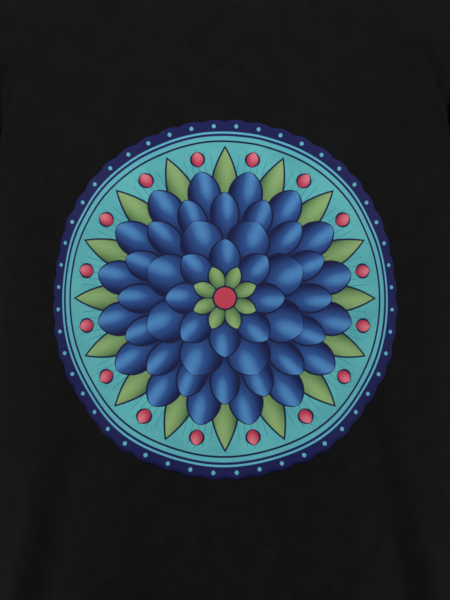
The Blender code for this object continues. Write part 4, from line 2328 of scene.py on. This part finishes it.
    def border(
        self, nodes: Nodes, shared: SharedGroups, under: object, radius: Value, angle: Value
    ) -> bpy.types.NodeSocket:
        """The thin rings and the navy border, with a pale bead in each scallop.

        Args:
            nodes: the material's nodes.
            shared: the shared groups.
            under: the colour below.
            radius: the distance from the print's middle.
            angle: the direction from its middle.

        Returns:
            The new colour.
        """
        colour = nodes.mix(nodes.band(radius, *self.dark_line), under, self.line)
        colour = nodes.mix(nodes.band(radius, *self.inner_line), colour, self.pale_blue)
        colour = nodes.mix(nodes.between(radius, *self.border_edge), colour, self.navy)
        colour = nodes.mix(nodes.band(radius, *self.border_line), colour, self.pale_blue)
        bead = nodes.group(
            shared.petals,
            Radius=radius,
            Angle=angle,
            Count=float(self.beads),
            Turn=math.pi / self.beads,
            Inner=0.948,
            Outer=0.974,
            Width=0.013,
            Tip=1.0,
            Blunt=0.5,
            Line=0.0,
        ).outputs
        return nodes.mix(bead["Mask"], colour, self.pale_blue)


# Studio.


@dataclass
class Studio:
    """The floor, the soft lights and the camera at the photograph's angle."""

    floor_z: float = -0.86
    floor_size: float = 80.0
    floor_tones: tuple[Colour, Colour] = ((0.29, 0.29, 0.287), (0.31, 0.31, 0.307))
    floor_glow_span: Place = (0.9, 3.4)
    sky: Colour = (0.80, 0.81, 0.83)
    sky_strength: float = 0.55
    softboxes: tuple[tuple[str, Point, float], ...] = (
        ("key left", (-1.9, -1.3, 0.8), 55.0),
        ("key right", (1.9, -1.3, 0.8), 53.0),
        ("back left", (0.9, 2.8, 1.3), 130.0),
        ("back right", (-0.9, 2.8, 1.0), 80.0),
    )
    softbox_size: float = 1.2
    lit_point: Point = (0.0, 0.0, -0.35)
    camera_place: Point = (0.0, -1.205, -0.346)
    lens: float = 85.0

    def build(self) -> None:
        """Sets up the studio."""
        self.build_floor()
        self.build_world()
        for name, place, power in self.softboxes:
            self.softbox(name, place, power)
        seen = bpy.data.cameras.new("camera")
        seen.lens = self.lens
        seen.sensor_width = 36.0
        camera = linked("camera", seen)
        camera.location = self.camera_place
        camera.rotation_euler = (0.5 * math.pi, 0.0, 0.0)
        bpy.context.scene.camera = camera
        bpy.context.scene.view_settings.view_transform = "Standard"

    def build_floor(self) -> None:
        """A plain pale floor that turns black far out and glows there with painted light in the sky's tone,
        so no horizon shows.
        """
        deselect()
        bpy.ops.mesh.primitive_plane_add(size=self.floor_size, location=(0.0, 0.0, self.floor_z))
        floor = bpy.context.object
        floor.name = "floor"
        pale, nodes, shader = new_material("pale floor", Roughness=0.9, Specular_IOR_Level=0.0)
        place = nodes.add("ShaderNodeTexCoord").outputs["Object"]
        pale_tone = nodes.mix(nodes.noise(place, 3.0, 2.0), *self.floor_tones)
        reach = nodes.add("ShaderNodeVectorMath", operation="LENGTH")
        nodes.feed(reach.inputs[0], place)
        near, far = self.floor_glow_span
        # Far out the floor fades to black and glows with painted light in the sky's tone, which no lamp
        # gives.
        glowing = nodes.between(reach.outputs["Value"], near, far)
        nodes.feed(shader["Base Color"], nodes.mix(glowing, pale_tone, (0.0, 0.0, 0.0)))
        nodes.feed(shader["Emission Color"], self.sky)
        nodes.feed(shader["Emission Strength"], nodes.times(glowing, self.sky_strength))
        floor.data.materials.append(pale)

    def build_world(self) -> None:
        """Even pale light from all round."""
        world = bpy.data.worlds.new("studio")
        world.use_nodes = True
        sky = world.node_tree.nodes["Background"]
        sky.inputs["Color"].default_value = (*self.sky, 1.0)
        sky.inputs["Strength"].default_value = self.sky_strength
        bpy.context.scene.world = world

    def softbox(self, name: str, place: Point, power: float) -> None:
        """Adds a square soft light that is turned to the shirt.

        Args:
            name: its name.
            place: where it stands.
            power: its power in watts.
        """
        light = bpy.data.lights.new(name, "AREA")
        light.energy = power
        light.size = self.softbox_size
        thing = linked(name, light)
        thing.location = place
        way = Vector(self.lit_point) - Vector(place)
        thing.rotation_euler = way.to_track_quat("-Z", "Y").to_euler()


# The shirt.


def main() -> None:
    """Builds the shirt's pieces in order, then the studio."""
    logging.basicConfig(level=logging.INFO, format="%(message)s")
    shared = SharedGroups(knit_group(), fibre_group(), petal_group())
    jersey = JerseyFinish().build(shared)
    rib = JerseyFinish(name="black cotton rib", column=0.0019, row=0.0007, bump=0.25).build(shared)
    tape = TapeFinish().build(shared)
    thread = ThreadFinish().build()
    ink = InkFinish().build(shared)

    hanging = HangingCloth()
    cloth = hanging.build()
    allowances = {
        "front_panel": (),
        "back_panel": ("side_left", "side_right", "shoulder_left", "shoulder_right"),
        "sleeve_left": ("armhole", "underarm_back"),
        "sleeve_right": ("armhole", "underarm_back"),
    }
    unevenness = {"front_panel": 0.0006, "back_panel": 0.0016, "sleeve_left": 0.0020, "sleeve_right": 0.0020}
    pieces = {}
    for number, name in enumerate(hanging.names):
        seams = tuple(edge for edge in hanging.edges[name] if edge != "hem")
        flat_size, flat_area = hanging.flat_sizes[name]
        piece = ClothPiece(name, number, hanging.edges[name], flat_size, flat_area, seams=seams)
        piece.allowances = allowances[name]
        piece.unevenness = unevenness[name]
        piece.cut(cloth)
        pieces[name] = piece
    bpy.data.objects.remove(cloth, do_unlink=True)
    front, back = pieces["front_panel"], pieces["back_panel"]
    NeckBand().build(front, back, rib)
    NeckTape().build(back, tape)
    ChestPrint().build(front, ink)
    for piece in pieces.values():
        piece.finish(jersey, piece.sew(thread))
    Studio().build()


if __name__ == "__main__":
    main()
